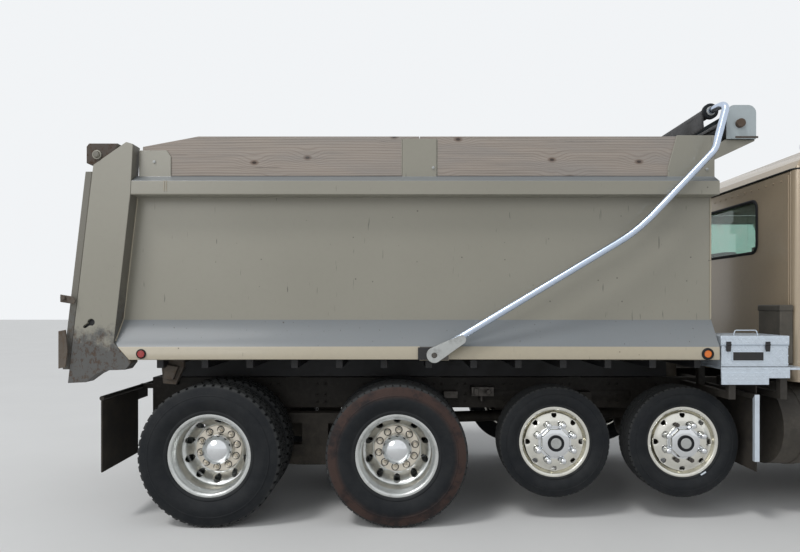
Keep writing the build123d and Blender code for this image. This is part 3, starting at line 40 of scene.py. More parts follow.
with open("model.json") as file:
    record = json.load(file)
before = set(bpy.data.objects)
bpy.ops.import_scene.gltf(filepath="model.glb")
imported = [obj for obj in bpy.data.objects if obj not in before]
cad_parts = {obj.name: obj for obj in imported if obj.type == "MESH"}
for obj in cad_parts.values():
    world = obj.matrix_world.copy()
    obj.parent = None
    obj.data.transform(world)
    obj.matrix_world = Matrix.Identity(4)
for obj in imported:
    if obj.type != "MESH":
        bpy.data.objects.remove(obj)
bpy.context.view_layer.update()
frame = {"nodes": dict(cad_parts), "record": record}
BODY_OF = {node: body for body, nodes in frame["record"]["behaviour"]["bodies"].items() for node in nodes}
SIDES = (("left", 1), ("right", -1))


def tone(red, green, blue):
    """A screen colour from 0 to 255 as the linear colour that shaders use."""
    parts = [value / 255 for value in (red, green, blue)]
    return tuple(p / 12.92 if p < 0.04045 else ((p + 0.055) / 1.055) ** 2.4 for p in parts)


def colour(label, text, value):
    """A colour setting."""
    return FloatVectorProperty(
        name=label, description=text, subtype="COLOR", size=3, min=0, max=1, default=tone(*value)
    )


def length(label, text, value):
    """A length setting."""
    return FloatProperty(name=label, description=text, subtype="DISTANCE", unit="LENGTH", default=value)


class TruckColours(bpy.types.PropertyGroup):
    """Colours of the truck's finishes."""

    bed: colour("Bed paint", "Taupe paint on the bed", (138, 135, 123))
    # Skirt and rail: the bed paint made darker and bluer where it leans up, a painted sky reflection, and
    # paler and warmer on the bottom rail, painted light
    skirt: colour("Skirt paint", "The same paint where it leans up, darker and bluer as a painted sky reflection", (118, 123, 126))
    rail: colour("Bottom rail painted light", "The same paint made paler and warmer as painted light", (166, 157, 137))
    # Shade: the bed paint darkened as painted shade, for the posts' fronts and the tailgate's edges
    shade: colour("Grimy bed paint", "The bed paint where grime holds", (100, 97, 88))
    housing: colour("Housing paint", "Pale paint on the tarp housing", (166, 176, 179))
    cab: colour("Cab paint", "Bronze tan paint on the cab and hood", (171, 154, 130))
    chassis: colour("Chassis paint", "Dark paint on the frame and axles", (33, 30, 27))
    dust: colour("Road dust", "Dry dust on low places", (124, 116, 104))
    rust: colour("Rust", "Rust at chips and seams", (78, 60, 46))
    wood: colour("Board wood", "Weathered softwood", (146, 133, 122))
    rubber: colour("Rubber", "Tyres and flaps", (19, 22, 26))
    metal: colour("Aluminium", "Bare aluminium", (222, 224, 225))


class TruckSizes(bpy.types.PropertyGroup):
    """Sizes of the truck's small fittings."""

    tread_depth: length("Tread depth", "Depth of the tyre grooves", 0.014)
    tread_pitches: IntProperty(
        name="Tread pitches", description="Lugs round a drive tyre", default=50, min=20
    )
    bead_radius: length("Weld bead", "Radius of a weld bead", 0.005)
    rivet_radius: length("Rivet head", "Radius of a rivet head", 0.007)
    bolt_radius: length("Bolt head", "Radius of a bolt head", 0.014)
    nut_radius: length("Wheel nut", "Radius of a wheel nut", 0.021)
    edge_round: length("Edge round", "Rounding of bent and cut plate edges", 0.004)


# Node trees


class Value:
    """One output in a node tree; signs between values add Math nodes."""

    def __init__(self, net, socket):
        self.net, self.socket = net, socket

    def __add__(self, other):
        return self.net.maths("ADD", self, other)

    def __sub__(self, other):
        return self.net.maths("SUBTRACT", self, other)

    def __rsub__(self, other):
        return self.net.maths("SUBTRACT", other, self)

    def __mul__(self, other):
        return self.net.maths("MULTIPLY", self, other)

    def __truediv__(self, other):
        return self.net.maths("DIVIDE", self, other)

    def __rtruediv__(self, other):
        return self.net.maths("DIVIDE", other, self)


class Net:
    """A node tree, with short ways to add the nodes used here."""

    def __init__(self, tree):
        self.tree = tree
        tree.nodes.clear()

    def fill(self, socket, value):
        """Links a value to a socket, or writes it there."""
        if isinstance(value, Value):
            self.tree.links.new(value.socket, socket)
        elif socket.type == "RGBA":
            socket.default_value = (*value[:3], 1)
        else:
            socket.default_value = value

    def node(self, kind, inputs=None, **settings):
        """Adds a node, sets its properties, and fills its inputs."""
        made = self.tree.nodes.new(kind)
        for name, value in settings.items():
            setattr(made, name, value)
        for name, value in (inputs or {}).items():
            self.fill(made.inputs[name], value)
        return made

    def one(self, kind, inputs=None, output=0, **settings):
        """One output of a new node."""
        return Value(self, self.node(kind, inputs, **settings).outputs[output])

    def all(self, kind, inputs=None, **settings):
        """The outputs of a new node, by name."""
        made = self.node(kind, inputs, **settings)
        return {socket.name: Value(self, socket) for socket in made.outputs}

    def group(self, tree, inputs):
        """The outputs of a shader group."""
        return self.all("ShaderNodeGroup", inputs, node_tree=tree)

    def give(self, **results):
        """Links results to the outputs of the group that this tree is."""
        for name, value in results.items():
            self.fill(self.out[name], value)

    def maths(self, operation, first, second=0.0, clamp=False):
        """A Math node's result."""
        inputs = {0: first, 1: second}
        return self.one("ShaderNodeMath", inputs, operation=operation, use_clamp=clamp)

    def mix(self, share, first, second):
        """A mix of two colours."""
        return self.one("ShaderNodeMix", {0: share, 6: first, 7: second}, 2, data_type="RGBA")

    def ramp(self, value, low, high, start=0.0, end=1.0):
        """A smooth step of a value between low and high."""
        inputs = {"Value": value, "From Min": low, "From Max": high, "To Min": start, "To Max": end}
        return self.one("ShaderNodeMapRange", inputs, interpolation_type="SMOOTHSTEP")

    def noise(self, place, scale, detail=4.0, stretch=(1, 1, 1), rough=0.55):
        """Noise at a scale, stretched along the axes."""
        at = self.one("ShaderNodeMapping", {"Vector": place, "Scale": stretch})
        inputs = {"Vector": at, "Scale": scale, "Detail": detail, "Roughness": rough}
        return self.one("ShaderNodeTexNoise", inputs)

    def cells(self, place, scale, dimensions="2D"):
        """Voronoi cells at a scale."""
        inputs = {"Vector": place, "Scale": scale}
        return self.all("ShaderNodeTexVoronoi", inputs, voronoi_dimensions=dimensions)

    def axes(self, place):
        """The three parts of a place."""
        return [Value(self, socket) for socket in self.node("ShaderNodeSeparateXYZ", {0: place}).outputs]

    def relief(self, height, strength, depth=0.004):
        """A normal that a height bends."""
        return self.one("ShaderNodeBump", {"Height": height, "Strength": strength, "Distance": depth})


def new_net(name, kind, inputs, outputs):
    """An empty group with its sockets, listed by kind, and its inputs' values."""
    net = Net(bpy.data.node_groups.new(name, kind))
    for way, sockets in (("INPUT", inputs), ("OUTPUT", outputs)):
        for socket, labels in sockets.items():
            for label in labels:
                net.tree.interface.new_socket(label, in_out=way, socket_type=f"NodeSocket{socket}")
    net.out = net.node("NodeGroupOutput").inputs
    return net, net.all("NodeGroupInput")


def shader_net(name, colours, numbers, outputs=None):
    """An empty shader group that takes a place, colours and numbers."""
    inputs = {"Vector": ["Place"], "Color": colours, "Float": numbers}
    outputs = outputs or {"Color": ["Color"], "Float": ["Roughness", "Height"]}
    return new_net(name, "ShaderNodeTree", inputs, outputs)


@cache
def weathered_paint():
    """Paint with fading, specks, drips, chips, scraped lower parts, and dust near the ground."""
    net, given = shader_net("Weathered Paint", ["Paint", "Rust", "Dust"], PAINT_NUMBERS)
    place, chips = given["Place"], given["Chips"]
    x, y, z = net.axes(place)
    fine = net.noise(place, 26, 6, rough=0.65)
    fading = net.ramp(net.noise(place, 0.5, 3), 0.3, 0.7) * given["Fading"]
    faded = net.mix(fading, given["Paint"], (0.55, 0.52, 0.45))
    mottled = net.mix(net.ramp(fine, 0.4, 0.8) * 0.1, faded, (0.2, 0.18, 0.16))
    # Thin short drips
    drip = net.ramp(net.noise(place, 1.0, 2, (64, 64, 5)), 0.71, 0.77) * given["Drips"]
    dripped = net.mix(drip, mottled, (0.045, 0.04, 0.035))
    # Small stone marks, spread over side and end plates alike
    cells = net.cells(net.one("ShaderNodeCombineXYZ", {0: x + y * 0.8, 1: z}), 6.0)
    chosen = net.all("ShaderNodeSeparateColor", {0: cells["Color"]})
    speck = net.ramp(cells["Distance"] - chosen["Green"] * 0.045, 0.0, -0.018)
    speck = speck * net.maths("GREATER_THAN", chosen["Red"], 0.62)
    specked = net.mix(speck * (given["Drips"] * 0.9), dripped, (0.05, 0.035, 0.028))
    # Chips down to rust, in clusters
    cluster = net.ramp(net.noise(place, 1.7, 3), 0.42, 0.62)
    pits = net.noise(place, 34, 5, (1, 1, 0.7), 0.7)
    edge = 0.86 - cluster * chips * 0.27
    chip = net.maths("GREATER_THAN", pits, edge)
    soft_chip = net.ramp(pits - edge, -0.07, 0.02)
    rust_tone = net.mix(fine, given["Rust"], (0.03, 0.016, 0.01))
    rusted = net.mix(soft_chip * chips, specked, rust_tone)
    rusted = net.mix(chip * net.ramp(chips, 0.0, 0.2), rusted, rust_tone)
    # Low parts scraped to dark primer and old rust
    reach = z + net.noise(place, 4.5, 7, rough=0.72) * 0.9 - given["Scrape Top"]
    scrape = net.ramp(reach, 0.5, 0.3) * given["Scraping"]
    bare = net.mix(net.ramp(pits, 0.5, 0.62), (0.085, 0.085, 0.083), rust_tone)
    scraped = net.mix(scrape, rusted, bare)
    # Dust, thicker towards the ground
    cloud = net.ramp(net.noise(place, 6, 6, rough=0.7), 0.3, 0.72)
    low = net.ramp(z, given["Dust Top"], 0.2)
    dust = net.maths("MULTIPLY", low * (cloud + 0.35), given["Dusting"], True)
    rough = given["Gloss"] + net.maths("MAXIMUM", dust, scrape) * 0.35
    marks = net.maths("MAXIMUM", chip, scrape * net.ramp(pits, 0.45, 0.6))
    net.give(
        Color=net.mix(dust, scraped, given["Dust"]),
        Roughness=net.maths("ADD", rough, soft_chip * 0.3, True),
        Height=fine * 0.1 - marks * 0.5,
    )
    return net.tree


@cache
def bare_metal():
    """Bare metal with brushing, water spots and tarnish."""
    numbers = ["Tarnishing", "Polish", "Lines Across", "Lines Up"]
    net, given = shader_net("Bare Metal", ["Metal", "Tarnish"], numbers)
    place = given["Place"]
    brushing = net.one("ShaderNodeCombineXYZ", {0: 1.0, 1: given["Lines Across"], 2: given["Lines Up"]})
    at = net.one("ShaderNodeVectorMath", {0: place, 1: brushing}, operation="MULTIPLY")
    lines = net.one("ShaderNodeTexNoise", {"Vector": at, "Scale": 40.0, "Detail": 4.0})
    stain = net.ramp(net.noise(place, 14, 7, rough=0.7), 0.46, 0.72) * given["Tarnishing"]
    net.give(
        Color=net.mix(stain, given["Metal"], given["Tarnish"]),
        Roughness=net.maths("ADD", given["Polish"] + lines * 0.12, stain * 0.5, True),
        Height=lines * 0.3,
    )
    return net.tree


@cache
def plank_grain():
    """Long grained softwood with knots, greyed by weather."""
    net, given = shader_net("Plank Grain", ["Wood"], ["Weather"])
    place, wood = given["Place"], given["Wood"]
    x, y, z = net.axes(place)
    # Knots lie on the plank's face, so they are spread over its length and height alone
    knots = net.cells(net.one("ShaderNodeCombineXYZ", {0: x * 1.1, 1: z * 1.9}), 1.6)["Distance"]
    sway = net.noise(place, 1.0, 3, (0.45, 1, 2.4))
    rings = sway * 22 + net.ramp(knots, 0.3, 0.0) * 13
    grain = net.ramp(net.maths("SINE", rings + z * 330), 0.1, 1.0)
    fibre = net.noise(place, 30, 5, (0.05, 1, 5), 0.7)
    pale = net.mix(0.25, wood, (0.5, 0.47, 0.43))
    dark = net.mix(0.55, wood, (0.13, 0.095, 0.075))
    grained = net.mix(grain * 0.38, pale, dark)
    fibrous = net.mix(net.ramp(fibre, 0.45, 0.75) * 0.6, grained, (0.16, 0.145, 0.13))
    halo = net.mix(net.ramp(knots, 0.075, 0.035, 0.0, 0.7), fibrous, (0.12, 0.07, 0.045))
    knotted = net.mix(net.ramp(knots, 0.036, 0.02), halo, (0.035, 0.022, 0.016))
    # Drying checks along the grain
    check = net.ramp(net.noise(place, 1.0, 3, (1.6, 1, 75)), 0.69, 0.74)
    checked = net.mix(check, knotted, (0.05, 0.04, 0.035))
    grey = net.ramp(net.noise(place, 2.6, 5, (0.6, 1, 3)), 0.35, 0.7)
    net.give(
        Color=net.mix(grey * given["Weather"], checked, (0.24, 0.235, 0.23)),
        Roughness=net.ramp(fibre, 0.2, 0.8, 0.7, 0.95),
        Height=0.0 - (grain * 0.3 + fibre * 0.6 + check),
    )
    return net.tree


@cache
def tread_plate():
    """Raised lozenges in two crossed directions, as on tread plate."""
    net, given = shader_net("Tread Plate", [], ["Pitch"], {"Float": ["Height"]})
    x, y, z = net.axes(given["Place"])
    # One slanted run of bars on each diagonal; z joins in for upright plates
    across = y + z
    up, down = (x + across) / given["Pitch"], (x - across) / given["Pitch"]
    marks = []
    for ways, shift in (((up, down), 0.0), ((down, up), 0.5)):
        u, v = (net.maths("ABSOLUTE", net.maths("FRACT", way + shift) - 0.5) for way in ways)
        marks.append(net.ramp(u * 2.2 + v * 9.0, 0.95, 0.6))
    net.give(Height=net.maths("MAXIMUM", *marks))
    return net.tree


@cache
def dusty_rubber():
    """Rubber with scuffs and dust; Ring is the distance from bead to tread."""
    net, given = shader_net("Dusty Rubber", ["Rubber", "Dust"], ["Ring", "Dusting", "Ring Tint"])
    place, ring = given["Place"], given["Ring"]
    cloud = net.ramp(net.noise(place, 7, 6, rough=0.7), 0.3, 0.75)
    tread, bead = net.ramp(ring, 0.86, 1.0), net.ramp(ring, 0.22, 0.02)
    spread = cloud * 0.4 + (tread * 0.75 + bead * 0.3)
    dust = net.maths("MULTIPLY", spread, given["Dusting"], True)
    # A reddish band on the shoulder of a scrubbed tyre
    band = net.ramp(ring, 0.5, 0.72) * net.ramp(ring, 0.995, 0.9)
    band = band * net.ramp(cloud, 0.0, 0.6, 0.2, 0.8) * given["Ring Tint"]
    net.give(
        Color=net.mix(band, net.mix(dust, given["Rubber"], given["Dust"]), (0.1, 0.05, 0.035)),
        Roughness=net.ramp(dust, 0.0, 0.7, 0.62, 0.92),
        Height=net.noise(place, 60, 4) * 0.3,
    )
    return net.tree


@cache
def open_weave():
    """Over and under threads from a UV map that is in metres."""
    net, given = shader_net("Open Weave", [], ["Threads"], {"Float": ["Height", "Mask"]})
    across, along, _ = net.axes(given["Place"])
    rows = [net.maths("ABSOLUTE", net.maths("SINE", way * given["Threads"])) for way in (across, along)]
    net.give(Height=rows[0] * rows[1], Mask=net.maths("MAXIMUM", *rows))
    return net.tree


# Materials

PAINT_NUMBERS = ["Fading", "Drips", "Chips", "Dusting", "Dust Top", "Gloss", "Scraping", "Scrape Top"]
# Name: colour setting, metallic, coat, then the paint numbers in their order
PAINTS = {
    "Bed Paint": ("bed", 0.0, 0.1, 0.1, 0.8, 0.06, 0.1, 1.4, 0.36, 0.0, 1.5),
    # The skirt paint is a painted sky reflection and the rail paint is painted light, both on the bed paint
    "Skirt Painted Sky Reflection": ("skirt", 0.0, 0.15, 0.08, 0.8, 0.1, 0.0, 1.4, 0.33, 0.0, 1.5),
    "Rail Paint": ("rail", 0.0, 0.1, 0.15, 0.9, 0.25, 0.1, 1.3, 0.4, 0.0, 1.5),
    "Post Paint": ("bed", 0.0, 0.05, 0.08, 0.5, 0.3, 0.1, 1.3, 0.4, 0.95, 1.45),
    "Housing Paint": ("housing", 0.0, 0.1, 0.1, 0.6, 0.15, 0.0, 1.4, 0.4, 0.0, 1.5),
    "Gate Paint": ("bed", 0.0, 0.05, 0.1, 0.5, 0.2, 0.25, 1.9, 0.42, 0.8, 1.3),
    "Bed Inside Paint": ("bed", 0.0, 0.0, 0.3, 0.9, 0.8, 0.5, 3.4, 0.6, 0.9, 2.1),
    # Shaded Paint: painted shade on the posts' fronts and the tailgate's edges, with real dust and scrapes
    "Shaded Paint": ("shade", 0.0, 0.0, 0.1, 0.5, 0.3, 0.2, 1.5, 0.5, 0.6, 1.7),
    "Scraped Plate": ("chassis", 0.2, 0.0, 0.3, 0.4, 0.85, 0.35, 2.6, 0.55, 0.9, 2.0),
    "Cab Paint": ("cab", 0.25, 0.5, 0.12, 0.1, 0.05, 0.25, 1.2, 0.27, 0.0, 1.0),
    "Chassis Paint": ("chassis", 0.0, 0.0, 0.04, 0.3, 0.3, 0.3, 1.1, 0.55, 0.0, 1.0),
    "Hoist Paint": ("chassis", 0.3, 0.0, 0.2, 0.6, 0.3, 0.5, 2.6, 0.4, 0.0, 1.0),
    "Rusty Casting": ("rust", 0.2, 0.0, 0.1, 0.5, 0.9, 0.4, 3.4, 0.75, 0.5, 3.0),}
# Name: colour, tarnishing, lines across and up, polish, bump, metallic
METALS = {
    "Polished Aluminium": ("metal", 0.16, (1, 1), 0.14, 0.02, 1.0),
    "Rim Aluminium": ((206, 208, 206), 0.3, (1, 1), 0.24, 0.04, 1.0),
    "Cream Aluminium": ((228, 226, 217), 0.14, (1, 1), 0.13, 0.02, 1.0),
    "Brushed Aluminium": ((196, 208, 226), 0.06, (14, 0.4), 0.2, 0.02, 1.0),
    "Tread Plate Aluminium": ((206, 216, 226), 0.1, (1, 1), 0.3, 0.9, 0.6),
    "White Aluminium": ((208, 217, 226), 0.14, (1, 1), 0.36, 0.05, 0.5),
    "Grey Casting": ((176, 178, 176), 0.35, (1, 1), 0.5, 0.12, 0.4),
    "Chrome": ((226, 228, 230), 0.1, (1, 1), 0.07, 0.0, 1.0),
    "Warm Chrome": ((228, 220, 206), 0.12, (1, 1), 0.24, 0.03, 0.9),
    "Dark Steel": ((96, 92, 88), 0.6, (1, 1), 0.42, 0.1, 0.8),
}
# Name: dust colour, dusting, reddish band
RUBBERS = {
    "Tyre Rubber": ((112, 112, 108), 0.15, 0.0),
    "Reddened Tyre Rubber": ((112, 112, 108), 0.15, 0.5),
    "Seal Rubber": ((112, 112, 108), 0.08, 0.0),
    "Muddy Rubber": ((92, 84, 74), 0.75, 0.0),
}
LENSES = {"Red Lens": (150, 22, 16), "Amber Lens": (222, 112, 22), "Clear Lens": (226, 230, 232)}
# Name: colour, wear
TRIMS = {"Cab Trim": ((58, 55, 52), 0.3), "Dark Plate": ((26, 27, 30), 0.1)}
TREAD_PLATE_PITCH = 0.05
THREADS = 1600.0


def surface(found):
    """The colour and roughness of a shader group, for the shader."""
    return {"Base Color": found["Color"], "Roughness": found["Roughness"]}


def paint_look(net, place, name, colours):
    """A weathered paint."""
    paint, metallic, coat, *numbers = PAINTS[name]
    tones = {"Paint": getattr(colours, paint), "Rust": colours.rust, "Dust": colours.dust}
    found = net.group(weathered_paint(), {"Place": place, **tones, **dict(zip(PAINT_NUMBERS, numbers))})
    return {
        **surface(found),
        "Normal": net.relief(found["Height"], 0.3),
        "Metallic": metallic,
        "Specular IOR Level": 0.25 if paint == "chassis" else 0.5,
        "Coat Weight": coat,
        "Coat Roughness": 0.12,
    }


def metal_look(net, place, name, colours):
    """A bare metal."""
    shade, tarnishing, (across, up), polish, bump, metallic = METALS[name]
    metal = getattr(colours, shade) if isinstance(shade, str) else tone(*shade)
    inputs = {"Place": place, "Metal": metal, "Tarnish": tone(74, 71, 67), "Tarnishing": tarnishing}
    found = net.group(bare_metal(), {**inputs, "Lines Across": across, "Lines Up": up, "Polish": polish})
    height = found["Height"]
    if name == "Tread Plate Aluminium":
        height = net.group(tread_plate(), {"Place": place, "Pitch": TREAD_PLATE_PITCH})["Height"]
    relief = {"Normal": net.relief(height, bump, 0.002)} if bump else {}
    return {**surface(found), **relief, "Metallic": metallic}


def rubber_look(net, place, name, colours):
    """Rubber of tyres, seals or flaps."""
    dust, dusting, tint = RUBBERS[name]
    ring = net.one("ShaderNodeAttribute", output="Fac", attribute_name="mark")
    inputs = {"Place": place, "Rubber": colours.rubber, "Dust": tone(*dust), "Dusting": dusting}
    found = net.group(dusty_rubber(), {**inputs, "Ring": ring, "Ring Tint": tint})
    return {**surface(found), "Normal": net.relief(found["Height"], 0.25), "Specular IOR Level": 0.22}


def wood_look(net, place, name, colours):
    """Weathered plank."""
    found = net.group(plank_grain(), {"Place": place, "Wood": colours.wood, "Weather": 0.35})
    return {**surface(found), "Normal": net.relief(found["Height"], 0.5)}


def lens_look(net, place, name, colours):
    """A moulded lens with fine ribs inside."""
    ribs = [net.maths("SINE", way * 900) for way in net.axes(place)]
    grime = net.ramp(net.noise(place, 40, 5), 0.5, 0.8)
    return {
        "Base Color": net.mix(grime * 0.35, tone(*LENSES[name]), tone(70, 50, 36)),
        "Roughness": net.ramp(grime, 0, 1, 0.12, 0.45),
        "Normal": net.relief((ribs[0] + ribs[1]) * ribs[2], 0.3, 0.001),
        "Coat Weight": 0.7,
    }


def glass_look(net, place, name, colours):
    """Tinted window glass with a film of dust."""
    film = net.ramp(net.noise(place, 5, 6, rough=0.7), 0.4, 0.8)
    return {
        "Base Color": net.mix(film, tone(198, 226, 216), tone(214, 224, 216)),
        "Roughness": net.ramp(film, 0, 1, 0.02, 0.14),
        "Transmission Weight": 0.92,
        "IOR": 1.45,
    }


def cloth_look(net, place, name, colours):
    """Black mesh cloth, woven in both directions of its own UV map."""
    threads = net.one("ShaderNodeUVMap", uv_map="cloth")
    found = net.group(open_weave(), {"Place": threads, "Threads": THREADS})
    dust = net.ramp(net.noise(place, 5, 6, rough=0.7), 0.4, 0.8)
    shade = net.mix(dust * 0.35, (0.012, 0.012, 0.014), (0.12, 0.11, 0.1))
    return {
        "Base Color": net.mix(found["Mask"], (0.004, 0.004, 0.005), shade),
        "Roughness": net.ramp(dust, 0, 1, 0.6, 0.9),
        "Normal": net.relief(found["Height"], 0.5, 0.001),
        "Sheen Weight": 0.15,
    }


def trim_look(net, place, name, colours):
    """Moulded cab trim or dark plate, with a fine grain."""
    shade, share = TRIMS[name]
    wear = net.ramp(net.noise(place, 8, 6, rough=0.7), 0.4, 0.75)
    return {
        "Base Color": net.mix(wear * share, tone(*shade), tone(110, 102, 92)),
        "Roughness": net.ramp(wear, 0, 1, 0.55, 0.75),
        "Normal": net.relief(net.cells(place, 320.0, "3D")["Distance"], 0.4, 0.001),
    }


def floor_look(net, place, name, colours):
    """The stage's pale floor."""
    cloud = net.noise(place, 0.7, 4)
    return {"Base Color": net.mix(cloud, (0.62, 0.62, 0.61), (0.68, 0.68, 0.67)), "Roughness": 0.9}


LOOK_MAKERS = {
    **dict.fromkeys(PAINTS, paint_look),
    **dict.fromkeys(METALS, metal_look),
    **dict.fromkeys(RUBBERS, rubber_look),
    **dict.fromkeys(LENSES, lens_look),
    **dict.fromkeys(TRIMS, trim_look),
    "Plank Wood": wood_look,
    "Window Glass": glass_look,
    "Tarp Cloth": cloth_look,
    "Pale Floor": floor_look,
}


@cache
def look(name):
    """A material, built once from the colour settings."""
    made = bpy.data.materials.new(name)
    made.use_nodes = True
    net = Net(made.node_tree)
    shader = net.node("ShaderNodeBsdfPrincipled")
    net.node("ShaderNodeOutputMaterial", {"Surface": Value(net, shader.outputs[0])})
    place = net.one("ShaderNodeTexCoord", output="Object")
    inputs = LOOK_MAKERS[name](net, place, name, bpy.context.scene.truck_colours)
    for label, value in inputs.items():
        net.fill(shader.inputs[label], value)
    return made


# Shapes

CAD_MERGE, SHAPE_MERGE = 2e-5, 1e-6
BEVEL_ANGLE = math.radians(40)
# Slots and finishes that go together
CHROME = ("steel_chrome", "Chrome")
SEAL = ("black_rubber", "Seal Rubber")
RUSTY = ("chassis_black", "Rusty Casting")
DARK = ("chassis_black", "Dark Plate")
BLACK = ("chassis_black", "Chassis Paint")
BRONZE = ("cab_bronze", "Cab Paint")
WHITE = ("aluminium", "White Aluminium")


class Shape:
    """Points and faces gathered for one piece, with a finish for each face and a mark for each point."""

    def __init__(self):
        self.points, self.faces, self.finishes, self.marks = [], [], [], []

    def add(self, points, faces, finish=0, marks=None):
        """Adds points and the faces between them."""
        start = len(self.points)
        self.points += [tuple(point) for point in points]
        self.marks += marks or [0.0] * len(points)
        self.faces += [tuple(start + index for index in face) for face in faces]
        self.finishes += [finish] * len(faces)
        return self

    def rings(self, rings, finish=0, closed=False, capped=True, marks=None):
        """Joins rings of points one to the next; closed joins the last to the first."""
        count = len(rings[0])
        faces = []
        for index in range(len(rings) - (0 if closed else 1)):
            low, high = index * count, (index + 1) % len(rings) * count
            for i in range(count):
                j = (i + 1) % count
                faces.append((low + i, low + j, high + j, high + i))
        if capped and not closed:
            last = (len(rings) - 1) * count
            faces += [tuple(range(count - 1, -1, -1)), tuple(range(last, last + count))]
        return self.add([point for ring in rings for point in ring], faces, finish, marks)

    def box(self, x, y, z):
        """A box between two values on each axis."""
        return self.prism([(x[0], z[0]), (x[1], z[0]), (x[1], z[1]), (x[0], z[1])], y)

    def prism(self, outline, span):
        """An outline of (x, z) points pushed across the truck."""
        return self.rings([[(x, y, z) for x, z in outline] for y in span])

    def stack(self, outline, levels, centre=(0, 0, 0), finish=0):
        """An outline of (x, z) points, scaled at each (place, scale) level across the truck."""
        x, y, z = centre
        rings = [[(x + a * scale, y + place, z + b * scale) for a, b in outline] for place, scale in levels]
        return self.rings(rings, finish)

    def lathe(self, profile, centre, steps, finish=0, axis=(0, 1, 0), closed=True, marks=None):
        """Turns a profile of (along, radius) round an axis through the centre."""
        along = Vector(axis).normalized()
        across = along.orthogonal().normalized()
        if abs(along.y) > 0.99:
            across = Vector((0, 0, 1))
        other = along.cross(across)
        turns = [math.tau * step / steps for step in range(steps)]
        spokes = [across * math.cos(turn) + other * math.sin(turn) for turn in turns]
        rings = [[Vector(centre) + along * a + spoke * r for spoke in spokes] for a, r in profile]
        marks = marks and [mark for mark in marks for _ in spokes]
        return self.rings(rings, finish, closed, False, marks)

    def disc(self, profile, centre, steps, finish=0, axis=(0, 1, 0)):
        """A turned solid whose profile starts and ends on the axis."""
        return self.lathe(profile, centre, steps, finish, axis, closed=False)

    def rod(self, start, end, radius, steps=20, chamfer=0.0):
        """A round bar with flat or chamfered ends."""
        run = (Vector(end) - Vector(start)).length
        profile = [(0, 0), (0, radius), (run, radius), (run, 0)]
        if chamfer:
            low = radius - chamfer
            profile[1:3] = [(0, low), (chamfer, radius), (run - chamfer, radius), (run, low)]
        return self.disc(profile, start, steps, 0, Vector(end) - Vector(start))

    def tube(self, path, radius, steps=12):
        """A round bar along a path of points."""
        path = [Vector(point) for point in path]
        side = None
        rings = []
        for index, point in enumerate(path):
            along = (path[min(index + 1, len(path) - 1)] - path[max(index - 1, 0)]).normalized()
            side = (side - along * side.dot(along) if side else along.orthogonal()).normalized()
            other = along.cross(side)
            turns = [math.tau * step / steps for step in range(steps)]
            rings.append([point + (side * math.cos(t) + other * math.sin(t)) * radius for t in turns])
        return self.rings(rings)

    def mirror(self):
        """Adds the same on the other side of the truck."""
        count = len(self.points)
        self.points += [(x, -y, z) for x, y, z in self.points]
        self.marks += self.marks
        self.faces += [tuple(count + index for index in reversed(face)) for face in self.faces]
        self.finishes += self.finishes
        return self

    def move(self, x, y, z):
        """Shifts all that is there."""
        self.points = [(a + x, b + y, c + z) for a, b, c in self.points]
        return self

    def sided(self, side):
        """Leaves the shape as built for the left, or turns it over for the right."""
        if side < 0:
            self.points = [(x, -y, z) for x, y, z in self.points]
            self.faces = [tuple(reversed(face)) for face in self.faces]
        return self


def give_looks(mesh, finishes):
    """Gives a mesh one finish or a list of them."""
    for item in [finishes] if isinstance(finishes, str) else finishes:
        mesh.materials.append(look(item))


def mesh_of(shape, name, finishes):
    """A mesh from a shape: merged, its normals outward."""
    mesh = bpy.data.meshes.new(name)
    mesh.from_pydata(shape.points, [], shape.faces)
    mark = mesh.attributes.new("mark", "FLOAT", "POINT")
    mark.data.foreach_set("value", shape.marks)
    give_looks(mesh, finishes)
    mesh.polygons.foreach_set("material_index", shape.finishes)
    work = bmesh.new()
    work.from_mesh(mesh)
    bmesh.ops.remove_doubles(work, verts=work.verts, dist=SHAPE_MERGE)
    bmesh.ops.recalc_face_normals(work, faces=work.faces)
    work.to_mesh(mesh)
    work.free()
    return mesh


def settle(mesh, name, body, stands_for=(), angle=32, bevel=0.0):
    """Makes an object of a mesh, rounds its edges, and joins it to its body."""
    obj = bpy.data.objects.new(name, mesh)
    bpy.context.scene.collection.objects.link(obj)
    mesh.shade_smooth()
    mesh.set_sharp_from_angle(angle=math.radians(angle))
    if bevel:
        rounding = obj.modifiers.new("Edge Round", "BEVEL")
        rounding.width = bevel
        rounding.segments = 2
        rounding.limit_method = "ANGLE"
        rounding.angle_limit = BEVEL_ANGLE
        rounding.use_clamp_overlap = False
        rounding.loop_slide = False
        flatten = obj.modifiers.new("Flat Faces", "WEIGHTED_NORMAL")
        flatten.keep_sharp = True
        flatten.weight = 90
    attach(obj, body)
    if stands_for:
        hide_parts(*stands_for)
    return obj


def piece(shape, name, body, slot, finishes, stands_for=(), bevel=0.0, angle=32):
    """Makes a finished object from a shape."""
    return settle(mesh_of(shape, name, finishes), name, body, stands_for, angle, bevel)


def dressed(node, slot, finishes, bevel=0.003, choose=None, angle=32):
    """A copy of a CAD node with rounded edges, which stands for it; choose gives a face's finish."""
    name = f"{node}_dressed"
    work = bmesh.new()
    work.from_mesh(frame["nodes"][node].data)
    bmesh.ops.remove_doubles(work, verts=work.verts, dist=CAD_MERGE)
    if choose:
        for face in work.faces:
            face.material_index = choose(face.calc_center_median(), face.normal)
    mesh = bpy.data.meshes.new(name)
    work.to_mesh(mesh)
    work.free()
    give_looks(mesh, finishes)
    return settle(mesh, name, BODY_OF[node], (node,), angle, bevel)


def plain(node, finish):
    """Gives a CAD node a finish and leaves its shape."""
    data = frame["nodes"][node].data
    data.materials.clear()
    give_looks(data, finish)


# Geometry Nodes trees


